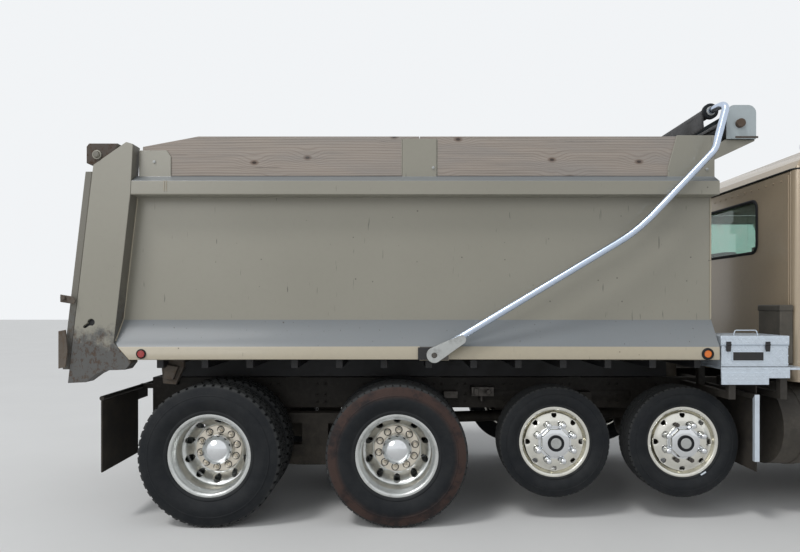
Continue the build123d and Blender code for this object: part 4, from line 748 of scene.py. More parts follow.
def geometry_net(name, inputs):
    """An empty geometry group that takes a mesh, inputs by kind and a finish."""
    sockets = {"Geometry": ["Geometry"], **inputs, "Material": ["Finish"]}
    return new_net(name, "GeometryNodeTree", sockets, {"Geometry": ["Geometry"]})


def end_net(net, geometry, finish):
    """Turns instances into mesh and gives it the finish."""
    real = net.one("GeometryNodeRealizeInstances", {0: geometry})
    net.give(Geometry=net.one("GeometryNodeSetMaterial", {"Geometry": real, "Material": finish}))
    return net.tree


@cache
def around_axle():
    """Repeats the given mesh around an axle that runs across the truck."""
    net, given = geometry_net("Around Axle", {"Int": ["Count"], "Vector": ["Centre"], "Float": ["Start"]})
    points = net.one("GeometryNodePoints", {"Count": given["Count"], "Position": given["Centre"]})
    angle = net.one("GeometryNodeInputIndex") * (math.tau / given["Count"]) + given["Start"]
    turn = net.one("FunctionNodeEulerToRotation", {0: net.one("ShaderNodeCombineXYZ", {"Y": angle})})
    inputs = {"Points": points, "Instance": given["Geometry"], "Rotation": turn}
    return end_net(net, net.one("GeometryNodeInstanceOnPoints", inputs), given["Finish"])


@cache
def heads_on_points():
    """Puts a bolt or rivet head on each given point, along the point's aim."""
    net, given = geometry_net("Heads On Points", {"Float": ["Radius", "Height", "Dome"], "Int": ["Sides"]})
    height = given["Height"]
    half, cap = height * 0.5, given["Radius"] * given["Dome"]
    body = {"Vertices": given["Sides"], "Radius": given["Radius"], "Depth": height}
    dome = {"Vertices": 12, "Radius Bottom": cap, "Radius Top": cap * 0.6, "Depth": half}
    head = net.node("GeometryNodeJoinGeometry")
    for kind, inputs, lift in (("Cylinder", body, half), ("Cone", dome, height)):
        part = net.one(f"GeometryNodeMesh{kind}", inputs)
        at = net.one("ShaderNodeCombineXYZ", {"Z": lift})
        net.fill(head.inputs[0], net.one("GeometryNodeTransform", {"Geometry": part, "Translation": at}))
    aim = net.one("GeometryNodeInputNamedAttribute", {"Name": "aim"}, data_type="FLOAT_VECTOR")
    turn = net.one("FunctionNodeAlignRotationToVector", {"Vector": aim}, axis="Z")
    inputs = {"Points": given["Geometry"], "Instance": Value(net, head.outputs[0]), "Rotation": turn}
    return end_net(net, net.one("GeometryNodeInstanceOnPoints", inputs), given["Finish"])


@cache
def weld_bead():
    """Lays a rippled weld bead along the given edges."""
    net, given = geometry_net("Weld Bead", {"Float": ["Radius"]})
    curve = net.one("GeometryNodeMeshToCurve", {0: given["Geometry"]})
    curve = net.one("GeometryNodeResampleCurve", {"Curve": curve, "Length": 0.006}, mode="LENGTH")
    ripple = net.one("FunctionNodeRandomValue", {"Min": 0.75, "Max": 1.25, "Seed": 7}, "Value")
    curve = net.one("GeometryNodeSetCurveRadius", {"Curve": curve, "Radius": ripple})
    ring = net.one("GeometryNodeCurvePrimitiveCircle", {"Resolution": 8, "Radius": given["Radius"]})
    inputs = {"Curve": curve, "Profile Curve": ring, "Fill Caps": True}
    return end_net(net, net.one("GeometryNodeCurveToMesh", inputs), given["Finish"])


def grown(mesh, tree, inputs, name, body, angle=32):
    """Runs a geometry tree on a mesh and makes an object of the plain mesh that comes out."""
    obj = bpy.data.objects.new("growing", mesh)
    bpy.context.scene.collection.objects.link(obj)
    modifier = obj.modifiers.new("Grow", "NODES")
    modifier.node_group = tree
    for item in tree.interface.items_tree:
        if item.in_out == "INPUT" and item.name in inputs:
            modifier[item.identifier] = inputs[item.name]
    bpy.context.view_layer.update()
    seen = obj.evaluated_get(bpy.context.evaluated_depsgraph_get())
    result = bpy.data.meshes.new_from_object(seen)
    bpy.data.objects.remove(obj)
    return settle(result, name, body, angle=angle)


def around(shape, name, body, finish, count, centre, start, angle):
    """A shape repeated round an axle."""
    inputs = {"Count": count, "Centre": centre, "Start": start, "Finish": look(finish)}
    return grown(mesh_of(shape, name, finish), around_axle(), inputs, name, body, angle)


def heads(points, name, body, slot, finish, radius, height, sides=6):
    """Bolt or rivet heads at (place, aim) pairs."""
    mesh = bpy.data.meshes.new(name)
    mesh.from_pydata([tuple(place) for place, aim in points], [], [])
    aims = mesh.attributes.new("aim", "FLOAT_VECTOR", "POINT")
    aims.data.foreach_set("vector", [value for place, aim in points for value in aim])
    inputs = {"Radius": radius, "Height": height, "Sides": sides, "Dome": 0.6, "Finish": look(finish)}
    return grown(mesh, heads_on_points(), inputs, name, body)


def beads(lines, name, finish, radius):
    """Weld beads on the bed along lines of points."""
    points, edges = [], []
    for line in lines:
        start = len(points)
        points += line
        edges += [(start + i, start + i + 1) for i in range(len(line) - 1)]
    mesh = bpy.data.meshes.new(name)
    mesh.from_pydata(points, edges, [])
    inputs = {"Radius": radius, "Finish": look(finish)}
    return grown(mesh, weld_bead(), inputs, name, "dump_bed", 60)


def rounded_path(points, radius, step=0.12):
    """A path whose corners are turned at the radius."""
    points = [Vector(point) for point in points]
    path = [points[0]]
    for before, corner, after in zip(points, points[1:], points[2:]):
        one, two = (before - corner).normalized(), (after - corner).normalized()
        half = one.angle(two) / 2
        middle = corner + (one + two).normalized() * radius / math.sin(half)
        start, end = corner + one * radius / math.tan(half), corner + two * radius / math.tan(half)
        sweep = math.pi - 2 * half
        count = max(3, round(sweep / step))
        first, last = start - middle, end - middle
        for i in range(count + 1):
            t = sweep * i / count
            path.append(middle + (first * math.sin(sweep - t) + last * math.sin(t)) / math.sin(sweep))
    return path + [points[-1]]


def rounded_ring(points, radius):
    """A closed path through the corners, each turned at the radius."""
    start = (Vector(points[0]) + Vector(points[-1])) / 2
    return rounded_path([start, *points, start], radius, 0.3)


def quarter(count):
    """The angles of a quarter turn in equal steps."""
    return [math.pi / 2 * i / count for i in range(count + 1)]


def corners(count, radius, start=0.5):
    """The corners of a regular outline."""
    turns = [math.tau * (i + start) / count for i in range(count)]
    return [(math.cos(turn) * radius, math.sin(turn) * radius) for turn in turns]


def shifted(start, profile):
    """A profile moved along its axis."""
    return [(start + a, r) for a, r in profile]


# Tyres and wheels

# Tyre: radius, width, bead radius, tread
TYRES = {
    "big": (0.525, 0.28, 0.298, "block"),
    "steer": (0.525, 0.28, 0.298, "rib"),
    "small": (0.42, 0.245, 0.26, "rib"),
}
# Axle: x, z, wheel centre y, tyre, tyre centres from it, finish of the tyre
AXLES = {
    "steer": (3.160, 0.525, 1.040, "steer", (0.0,), "Tyre Rubber"),
    "lift_front": (0.345, 0.595, 0.948, "small", (0.0,), "Tyre Rubber"),
    "lift_rear": (-0.625, 0.595, 0.948, "small", (0.0,), "Tyre Rubber"),
    "drive_front": (-1.813, 0.525, 1.080, "steer", (0.0, -0.34), "Reddened Tyre Rubber"),
    "drive_rear": (-3.185, 0.525, 1.080, "big", (0.0, -0.34), "Tyre Rubber"),
}
DRIVE_X = (-1.813, -3.185)
# Share of the half width and of the height from bead to tread, bead first
SIDE_WALL = [
    (0.72, -0.004), (0.76, 0.03), (0.83, 0.07), (0.85, 0.11), (0.83, 0.15), (0.9, 0.24), (0.965, 0.34),
    (0.995, 0.44), (1.0, 0.5), (0.992, 0.56), (0.975, 0.62), (0.985, 0.635), (0.98, 0.655), (0.955, 0.67),
    (0.93, 0.76), (0.905, 0.84), (0.88, 0.9), (0.86, 0.93),
]
# Ribs of a ribbed tyre as shares of the half width, and its lugs for each one of a drive tyre
RIB_STARTS = (-0.5, -0.2, 0.13, 0.43)
RIB, GROOVE = 0.25, 0.035
RIBBED_LUGS = 1.2


def carcass_profile(kind, middle, depth):
    """Section of a tyre up to the bottom of its grooves, with how far out each point is."""
    radius, width, bead, tread = TYRES[kind]
    half, tall = width / 2, radius - bead
    wall = [*SIDE_WALL, (0.82, 1 - depth / tall)]
    profile = [(middle - half * a, bead + tall * r, r) for a, r in wall]
    floor, top = radius - depth, radius - 0.002
    for place in RIB_STARTS if tread == "rib" else ():
        start, end = place + GROOVE - 0.02, place + RIB - 0.02
        for a, r in ((start, floor), (start + 0.01, top), (end, top), (end + 0.01, floor)):
            profile.append((middle + half * a, r - 0.004 * (a / 0.8) ** 2, 1.0))
    return profile + [(2 * middle - a, r, m) for a, r, m in reversed(profile[: len(wall)])]


def tread_pitch(kind, centres, depth, pitches):
    """The blocks of one pitch of tread, at the top of a tyre that turns at the origin."""
    radius, width, _, tread = TYRES[kind]
    shape = Shape()
    floor = radius - depth
    outer = [(0.5, 0.001), (0.8, 0.004), (0.865, 0.016), (0.935, 0.058), (0.89, 0.06)]
    shoulder = [(0.5, floor)] + [(a, radius - drop) for a, drop in outer]
    fill = 0.72 if tread == "block" else 0.86
    # Side, outline, shift round the tyre, filled share and slant of each row
    rows = [(side, shoulder, 0.25 * (side > 0), fill, 0.0) for side in (-1, 1)]
    if tread == "block":
        inner = [(0.03, floor), (0.03, radius), (0.42, radius - 0.001), (0.42, floor)]
        rows += [(side, inner, 0.5 + 0.25 * (side > 0), 0.84, 0.3) for side in (-1, 1)]
    for middle in centres:
        for side, outline, shift, filled, slant in rows:
            rings = []
            for end in (-0.5, 0.5):
                ring = []
                for a, r in outline:
                    share = filled * (0.92 if r > radius - 0.02 else 1.0)
                    turn = math.tau / pitches * (shift + end * share + slant * (a - 0.22))
                    ring.append((math.sin(turn) * r, middle + side * width / 2 * a, math.cos(turn) * r))
                rings.append(ring)
            shape.rings(rings, marks=[1.0 if r > radius - 0.03 else 0.93 for a, r in outline] * 2)
    return shape


class TRUCK_OT_tyres(bpy.types.Operator):
    """Tyres with ribbed side walls and tread blocks"""

    bl_idname = "truck.tyres"
    bl_label = "Tyres"

    def execute(self, context):
        sizes = context.scene.truck_sizes
        depth = sizes.tread_depth
        for axle, (x, z, y, kind, middles, finish) in AXLES.items():
            count = sizes.tread_pitches if kind == "big" else round(sizes.tread_pitches * RIBBED_LUGS)
            centres = [y + middle for middle in middles]
            for name, side in SIDES:
                tyre = f"tyre_{axle}_{name}"
                body, slot = BODY_OF[tyre], "tyre_rubber"
                shape = Shape()
                for middle in centres:
                    profile = carcass_profile(kind, middle, depth)
                    marks = [m for a, r, m in profile]
                    shape.lathe([(a, r) for a, r, m in profile], (x, 0, z), 96, marks=marks)
                piece(shape.sided(side), f"{tyre}_carcass", body, slot, finish, (tyre,), angle=28)
                blocks = tread_pitch(kind, centres, depth, count).sided(side)
                around(blocks, f"{tyre}_tread", body, finish, count, (x, 0, z), 0.03 * side, 25)
        return {"FINISHED"}


# Wheel: bead radius, half width, hole circle, hole radius, holes; then disc face, disc root, hub's end
WHEELS = {
    "drive": ((0.298, 0.106, 0.222, 0.026, 10), -0.158, -0.072, -0.020),
    "steer": ((0.298, 0.106, 0.222, 0.026, 10), 0.120, 0.072, 0.175),
    "lift": ((0.260, 0.093, 0.204, 0.0205, 8), 0.088, 0.074, 0.150),
}
# Disc face and root of the inner wheel of a pair
INNER_FACE, INNER_ROOT = 0.164, 0.058
# Share of the half width and distance from the bead, inside to outside
RIM_LIP = [
    (0.55, -0.041), (0.7, -0.034), (0.8, -0.024), (0.9, -0.019), (0.925, -0.0185), (0.935, -0.0165),
    (0.965, -0.0155), (0.985, -0.013), (1.0, -0.006), (1.005, 0.002), (0.995, 0.009), (0.965, 0.012),
    (0.925, 0.009), (0.9, 0.0),
]
RIM_FINISHES = {
    "drive": ["Rim Aluminium", "Warm Chrome", "Rim Aluminium", "Chrome", "Chassis Paint"],
    "steer": ["Polished Aluminium", "Polished Aluminium", "Rim Aluminium", "Chrome", "Chassis Paint"],
    "lift": ["Cream Aluminium", "Chrome", "Seal Rubber", "Grey Casting", "Chassis Paint"],
}
# Places in a wheel's finishes, after its rim
HUB, CAP, CENTRE, DRUM = 1, 2, 3, 4
# Half the disc's thickness, radius of its middle hole, radius of the nuts' circle
PLATE, HUB_HOLE, NUT_CIRCLE = 0.007, 0.06, 0.143
ORIGIN = (0, 0, 0)
WORN_WHEEL = "wheel_lift_front_right"
LOST_NUTS = (3, 4, 7)


def rim_shape(shape, rim, face, root, middle):
    """A pressed or forged wheel: rim, sloping band with hand holes, and flat disc."""
    bead, half, circle, hole, holes = rim
    inner, outer = bead * 0.61, bead - 0.042

    def place(radius, back):
        share = min(max((radius - inner) / (outer - inner), 0), 1)
        smooth = share * share * (3 - 2 * share)
        return middle + face + (root - face) * smooth + (-PLATE if back else PLATE)

    def turned(profile):
        shape.lathe(profile, ORIGIN, holes * 12, closed=False)

    low, high = circle - hole * 1.45, min(circle + hole * 1.45, outer - 0.001)
    well = [(middle + half * 0.55, bead - 0.034), (middle - half * 0.55, bead - 0.034)]
    near = [(middle + half * a, bead + r) for a, r in RIM_LIP]
    far = [(middle - half * a, bead + r) for a, r in reversed(RIM_LIP)]
    radii = [high + (outer - high) * i / 3 for i in range(4)]
    front, back = [(place(r, False), r) for r in radii], [(place(r, True), r) for r in reversed(radii)]
    turned(front + near + well + far + back)
    radii = [HUB_HOLE + (low - HUB_HOLE) * i / 5 for i in range(6)]
    front, back = [(place(r, False), r) for r in radii], [(place(r, True), r) for r in reversed(radii)]
    turned(back + front)
    turned([back[-1], front[0]])
    # The band with holes: in each sector a ring of quads runs from the hole to the sector's edge
    steps = [-1 + i / 6 for i in range(12)]
    border = [(u, 1) for u in steps] + [(1, -u) for u in steps]
    border += [(-u, -1) for u in steps] + [(-1, u) for u in steps]
    levels = [(False, share) for share in (1.0, 0.45, 0.12, 0.0)]
    levels += [(True, share) for share in (0.0, 0.12, 0.45, 1.0)]
    for sector in range(holes):
        centre_turn = math.tau * sector / holes
        rings = []
        for back_side, share in levels:
            ring = []
            for index, (u, v) in enumerate(border):
                edge_radius = (low + high) / 2 + v * (high - low) / 2
                edge_turn = u * math.pi / holes
                hole_turn = math.pi * 0.75 - math.tau * index / 48
                hole_a, hole_r = math.cos(hole_turn) * hole, circle + math.sin(hole_turn) * hole
                a = edge_radius * math.sin(edge_turn) * share + hole_a * (1 - share)
                r = edge_radius * math.cos(edge_turn) * share + hole_r * (1 - share)
                radius, turn = math.hypot(a, r), centre_turn + math.atan2(a, r)
                dip = 0.0022 * (0.12 - share) / 0.12 if share < 0.12 else 0.0
                along = place(radius, back_side) + (dip if back_side else -dip)
                ring.append((math.sin(turn) * radius, along, math.cos(turn) * radius))
            rings.append(ring)
        shape.rings(rings, capped=False)


def hub_shape(shape, kind, face, end):
    """Hub ring, sleeve and cap, from the disc's face outwards."""
    start = face + PLATE - 0.002
    if kind == "lift":
        ring = [(0, 0), (0, 0.122), (0.004, 0.126), (0.012, 0.124), (0.014, 0)]
        shape.disc(shifted(start, ring), ORIGIN, 64, HUB)
        levels = ((start + 0.01, 1.0), (end - 0.02, 0.98), (end - 0.012, 0.93), (end - 0.009, 0.86))
        shape.stack(corners(8, 0.117), (*levels, (end - 0.009, 0.5)), finish=HUB)
        cap = [(-0.012, 0), (-0.012, 0.061), (-0.002, 0.061), (0, 0.056), (-0.003, 0.046), (-0.003, 0)]
        shape.disc(shifted(end, cap), ORIGIN, 40, CAP)
        button = [(-0.005, 0), (-0.005, 0.042), (-0.001, 0.038), (0, 0)]
        shape.disc(shifted(end, button), ORIGIN, 32, CENTRE)
        return
    ring = [(0, 0), (0, 0.176), (0.004, 0.18), (0.014, 0.178), (0.018, 0.172), (0.018, 0.112)]
    ring += [(0.024, 0.108), (0.024, 0)]
    shape.disc(shifted(start, ring), ORIGIN, 80, HUB)
    sleeve = [(end - 0.074, 0.108), (end - 0.069, 0.104), (end - 0.069, 0)]
    shape.disc(shifted(start, [(0.02, 0), (0.02, 0.112)]) + sleeve, ORIGIN, 64, CAP)
    dome = [(-0.071, 0), (-0.071, 0.112), (-0.064, 0.113)]
    dome += [(-0.064 + 0.064 * math.sin(t), 0.112 * math.cos(t)) for t in quarter(12)]
    shape.disc(shifted(end, dome), ORIGIN, 64, CENTRE)


def nut_shape(kind, face, radius):
    """One wheel nut at the top of its circle: a hex nut on its stud, or a tall chrome cover."""
    start = face + PLATE + (0.012 if kind == "lift" else 0.014)
    at = (0, start, NUT_CIRCLE)
    if kind == "drive":
        levels = ((0.0, 0.92), (0.002, 1.0), (0.02, 1.0), (0.024, 0.86))
        washer = [(0, 0), (0, radius * 1.02), (0.004, radius * 1.05), (0.006, radius * 0.9), (0.006, 0)]
        stud = [(0.02, 0), (0.02, radius * 0.55), (0.046, radius * 0.55), (0.05, radius * 0.45), (0.05, 0)]
        shape = Shape().stack(corners(6, radius), levels, (0, start + 0.004, NUT_CIRCLE))
        return shape.disc(washer, at, 20).disc(stud, at, 14)
    tall = [(0, 0), (0, 0.027), (0.003, 0.0285), (0.006, 0.026), (0.012, 0.0235), (0.048, 0.0205)]
    tall += [(0.048 + 0.012 * math.sin(t), 0.0205 * math.cos(t)) for t in quarter(5)[1:]]
    return Shape().disc(tall, at, 20)


def wheel_shape(kind, middles):
    """A wheel at the origin, or a twin pair, with its hub and drum."""
    rim, face, root, end = WHEELS[kind]
    shape = Shape()
    rim_shape(shape, rim, face, root, 0.0)
    hub_shape(shape, kind, face, end)
    drum, drum_end = 0.165 if kind == "lift" else 0.2, face - 0.012
    if len(middles) > 1:
        rim_shape(shape, rim, INNER_FACE, INNER_ROOT, middles[1])
        drum_end = middles[1] + 0.15
    inner = middles[-1] - 0.10 if kind == "drive" else -0.08
    profile = [(inner, 0.0), (inner, drum - 0.01)]
    for i in range(7):
        at = inner + (drum_end - inner) * i / 7
        profile += [(at, drum), (at + 0.006, drum + 0.004), (at + 0.012, drum)]
    return shape.disc(profile + [(drum_end, drum), (drum_end, 0.0)], ORIGIN, 72, DRUM)


class TRUCK_OT_wheels(bpy.types.Operator):
    """Wheels with hand holes, hubs and nuts"""

    bl_idname = "truck.wheels"
    bl_label = "Wheels"

    def execute(self, context):
        radius = context.scene.truck_sizes.nut_radius
        for axle, (x, z, y, _, middles, _) in AXLES.items():
            kind = axle.split("_")[0]
            (*_, count), face, _, _ = WHEELS[kind]
            for name, side in SIDES:
                wheel = f"wheel_{axle}_{name}"
                body = BODY_OF[wheel]
                shape = wheel_shape(kind, middles).move(x, y, z).sided(side)
                piece(shape, f"{wheel}_rim", body, "aluminium", RIM_FINISHES[kind], (wheel,), angle=30)
                nut = nut_shape(kind, face, radius).move(0, y, 0)
                if wheel == WORN_WHEEL:
                    self.worn_nuts(nut.move(x, 0, z), (x, y, z), face, radius, count)
                    continue
                parts = [("nuts", nut, "Warm Chrome" if kind == "drive" else "Chrome")]
                if kind != "lift":
                    seat = [(0, 0), (0, radius * 1.4), (0.002, radius * 1.36), (0.002, 0)]
                    seat = Shape().disc(shifted(face + PLATE + 0.016, seat), (0, y, NUT_CIRCLE), 18)
                    parts.append(("nut_seats", seat, "Dark Plate"))
                start = math.pi / count if kind == "lift" else 0.1
                for part, shape, finish in parts:
                    shape.sided(side)
                    part = f"{wheel}_{part}"
                    around(shape, part, body, finish, count, (x, 0, z), start, 35)
        return {"FINISHED"}

    def worn_nuts(self, cover, centre, face, radius, count):
        """The front right lift wheel has lost three nut covers and wears a clip-on weight."""
        x, y, z = centre
        middle, body = Vector((x, 0, z)), BODY_OF[WORN_WHEEL]
        start = (x, y + face + PLATE + 0.012, z + NUT_CIRCLE)
        bare = Shape().stack(corners(6, radius * 0.85, 0), ((0, 1), (0.02, 1), (0.024, 0.85)), start)
        bare.rod(start, (start[0], start[1] + 0.034, start[2]), radius * 0.45, 12)
        kept = {True: Shape(), False: Shape()}
        for index in range(count):
            lost = index in LOST_NUTS
            shape = bare if lost else cover
            turn = Matrix.Rotation(math.tau * (index + 0.5) / count, 3, "Y")
            kept[lost].add([middle + turn @ (Vector(point) - middle) for point in shape.points], shape.faces)
        for lost, part, finish in ((False, "nuts", "Chrome"), (True, "bare_nuts", "Dark Steel")):
            piece(kept[lost].sided(-1), f"{WORN_WHEEL}_{part}", body, "steel_chrome", finish, angle=35)
        turns = [2.5 + 0.032 * i for i in range(6)]
        path = [(x + 0.277 * math.sin(t), -1.056, z + 0.277 * math.cos(t)) for t in turns]
        piece(Shape().tube(path, 0.006, 8), f"{WORN_WHEEL}_weight", body, *WHITE)


# Bed

# Outer face of the side sheets and of the board pockets, and the sheets' ends
SHEET_Y = 1.103
POCKET_Y = 1.1405
GATE_X, FRONT_X = -3.742, 0.522


def side_choice(place, normal):
    """Sheet, skirt with a painted sky reflection, bottom rail with painted light, or inside finish of a
    side's face, or dark steel for what stands proud.
    """
    if abs(place.y) < 1.096 and place.y * normal.y < 0.1:
        return 3
    if abs(place.y) > 1.2215:
        return 4
    # Upward leaning faces take a painted sky reflection
    if normal.z > 0.2 and place.z < 2.6:
        return 1
    # The low bottom rail takes painted light
    return 2 if place.z < 1.33 else 0


def post_choice(place, normal):
    """Painted post, dark cross bar, rusty hinge plate, or front face darkened as painted shade."""
    if abs(place.y) < 1.09 and place.z < 1.21:
        return 1
    # Faces turned to the front take painted shade
    if normal.x > 0.6 and place.z > 1.2 and abs(place.y) > 1.1:
        return 3
    return 2 if place.x < -3.87 and place.z > 2.6 and SHEET_Y < abs(place.y) < 1.215 else 0


def gate_choice(place, normal):
    """Outside, inside, or edges of the tailgate darkened as painted shade."""
    return 2 if abs(normal.y) > 0.7 and abs(place.y) > 1.08 else int(normal.x > 0.5)


class TRUCK_OT_bed(bpy.types.Operator):
    """Bed sheets, floor, posts and front wall with welds and bolts"""

    bl_idname = "truck.bed"
    bl_label = "Bed"

    def execute(self, context):
        sizes = context.scene.truck_sizes
        paint, edge = "bed_taupe", sizes.edge_round
        # The skirt and rail finishes hold a painted sky reflection and painted light
        finishes = ["Bed Paint", "Skirt Painted Sky Reflection", "Rail Paint", "Bed Inside Paint", "Dark Steel"]
        dressed("bed_sides", paint, finishes, edge, side_choice)
        # All but the floor's top face take dark plate, a painted shade under the bed
        finishes = ["Dark Plate", "Bed Inside Paint"]
        dressed("bed_floor", paint, finishes, choose=lambda p, n: int(n.z > 0.9 and p.z > 1.2))
        finishes = ["Bed Paint", "Bed Inside Paint"]
        dressed("bed_front", paint, finishes, choose=lambda p, n: int(n.x < -0.5 and p.x < 0.53))
        finishes = ["Post Paint", "Scraped Plate", "Rusty Casting", "Shaded Paint"]
        dressed("rear_posts", paint, finishes, edge, post_choice)
        self.welds(sizes)
        bolts = [(-3.6, 1.148, 2.684), (-1.545, 1.148, 2.64), (0.47, 1.148, 2.63)]
        points = [((x, side * y, z), (0, side, 0)) for x, y, z in bolts for side in (-1, 1)]
        radius = sizes.bolt_radius * 0.8
        heads(points, "pocket_bolts", "dump_bed", "steel_chrome", "Grey Casting", radius, 0.007)
        rings, dark, clips = Shape(), Shape(), Shape()
        for x, wide in ((-3.666, 0.036), (0.440, 0.044)):
            section = [(1.2205, 0.027), (1.2225, wide), (1.228, wide - 0.001), (1.233, wide - 0.006)]
            rings.lathe([*section, (1.233, 0.029)], (x, 0, 1.274), 32)
        piece(rings.mirror(), "bed_lamp_rings", "dump_bed", *SEAL)
        # Dark plates behind the posts' slots, a painted shade in the holes, and on the bottom rail
        dark.box((-4.1, -3.99), (-1.196, -1.192), (1.44, 1.54))
        dark.box((-1.66, -1.56), (-1.2395, -1.2205), (1.232, 1.322)).mirror()
        piece(dark, "bed_dark_plates", "dump_bed", *DARK, bevel=0.002)
        for x in (-3.5, -3.484):
            clips.tube([(x, -1.221, 2.455), (x, -1.221, 2.53)], 0.0035, 8)
        # The clips take the rail's painted light
        piece(clips.mirror(), "rail_clips", "dump_bed", paint, "Rail Paint", angle=50)
        arms = Shape()
        outline = [(-3.6, 1.03), (-3.5, 1.02), (-3.44, 1.16), (-3.44, 1.238), (-3.62, 1.238)]
        arms.prism(outline, (-0.99, -0.95))
        arms.prism([(-3.58, 1.07), (-3.51, 1.06), (-3.47, 1.16), (-3.57, 1.18)], (-1.03, -0.99)).mirror()
        piece(arms, "bed_hinge_castings", "dump_bed", *RUSTY, bevel=0.006)
        return {"FINISHED"}

    def welds(self, sizes):
        """Weld beads at the ends of the side sheets, along the top rail and at the middle pocket."""
        pale, dull = [], []
        for side in (-1, 1):
            y = side * SHEET_Y
            # The beads down the sheets' ends are real welds, made pale with the rail's painted light as a
            # painted highlight along those edges
            pale.append([(GATE_X, y, 2.43), (-3.846, y, 1.53), (-3.862, side * 1.2, 1.365)])
            pale.append([(FRONT_X, y, 2.425), (FRONT_X, y, 1.525)])
            dull.append([(GATE_X + 0.002, y, 2.427), (FRONT_X - 0.002, y, 2.427)])
            dull += [[(x, side * POCKET_Y, z) for z in (2.592, 2.85)] for x in (-1.775, -1.517)]
        beads(pale, "bed_welds_painted_highlight", "Rail Paint", sizes.bead_radius)
        beads(dull, "bed_seam_welds", "Bed Paint", sizes.bead_radius * 0.8)


class TRUCK_OT_boards(bpy.types.Operator):
    """Wooden side boards in their pockets"""

    bl_idname = "truck.boards"
    bl_label = "Boards"

    def execute(self, context):
        dressed("side_boards", "weathered_wood", "Plank Wood", 0.004)
        return {"FINISHED"}


class TRUCK_OT_tailgate(bpy.types.Operator):
    """Tailgate with its ribs and hinge lugs"""

    bl_idname = "truck.tailgate"
    bl_label = "Tailgate"

    def execute(self, context):
        # The tailgate's edges take the shaded paint, a painted shade
        finishes = ["Gate Paint", "Bed Inside Paint", "Shaded Paint"]
        dressed("tailgate", "bed_taupe", finishes, 0.004, gate_choice)
        hooks = Shape()
        outline = [(-4.252, 1.44), (-4.2, 1.45), (-4.185, 1.3), (-4.2, 1.18), (-4.252, 1.17)]
        hooks.prism(outline, (-1.249, -1.237))
        outline = [(-4.24, 1.65), (-4.14, 1.635), (-4.13, 1.66), (-4.15, 1.69), (-4.24, 1.705)]
        hooks.prism(outline, (-1.246, -1.237))
        hooks.rod((-4.215, -1.236, 1.68), (-4.215, -1.262, 1.68), 0.018, 16, chamfer=0.003).mirror()
        piece(hooks, "tailgate_hooks", "tailgate", *RUSTY, bevel=0.003)
        return {"FINISHED"}


# Tarp

# Centre lines as (x, z), and how far the cloths reach to each side
ROLLER = (0.706, 2.962)
BAR = (0.532, 3.078)
ROLL_HALF, FLAP_HALF = 1.148, 1.055
ROLL_TURNS = 14.5


def boss_choice(place, normal):
    """Painted housing, or the rusty boss at the roller's end and its foot."""
    if place.z < 2.853 and abs(place.y) < 1.15:
        return 1
    return int(abs(place.y) > 1.161 and math.dist((place.x, place.z), ROLLER) < 0.05)


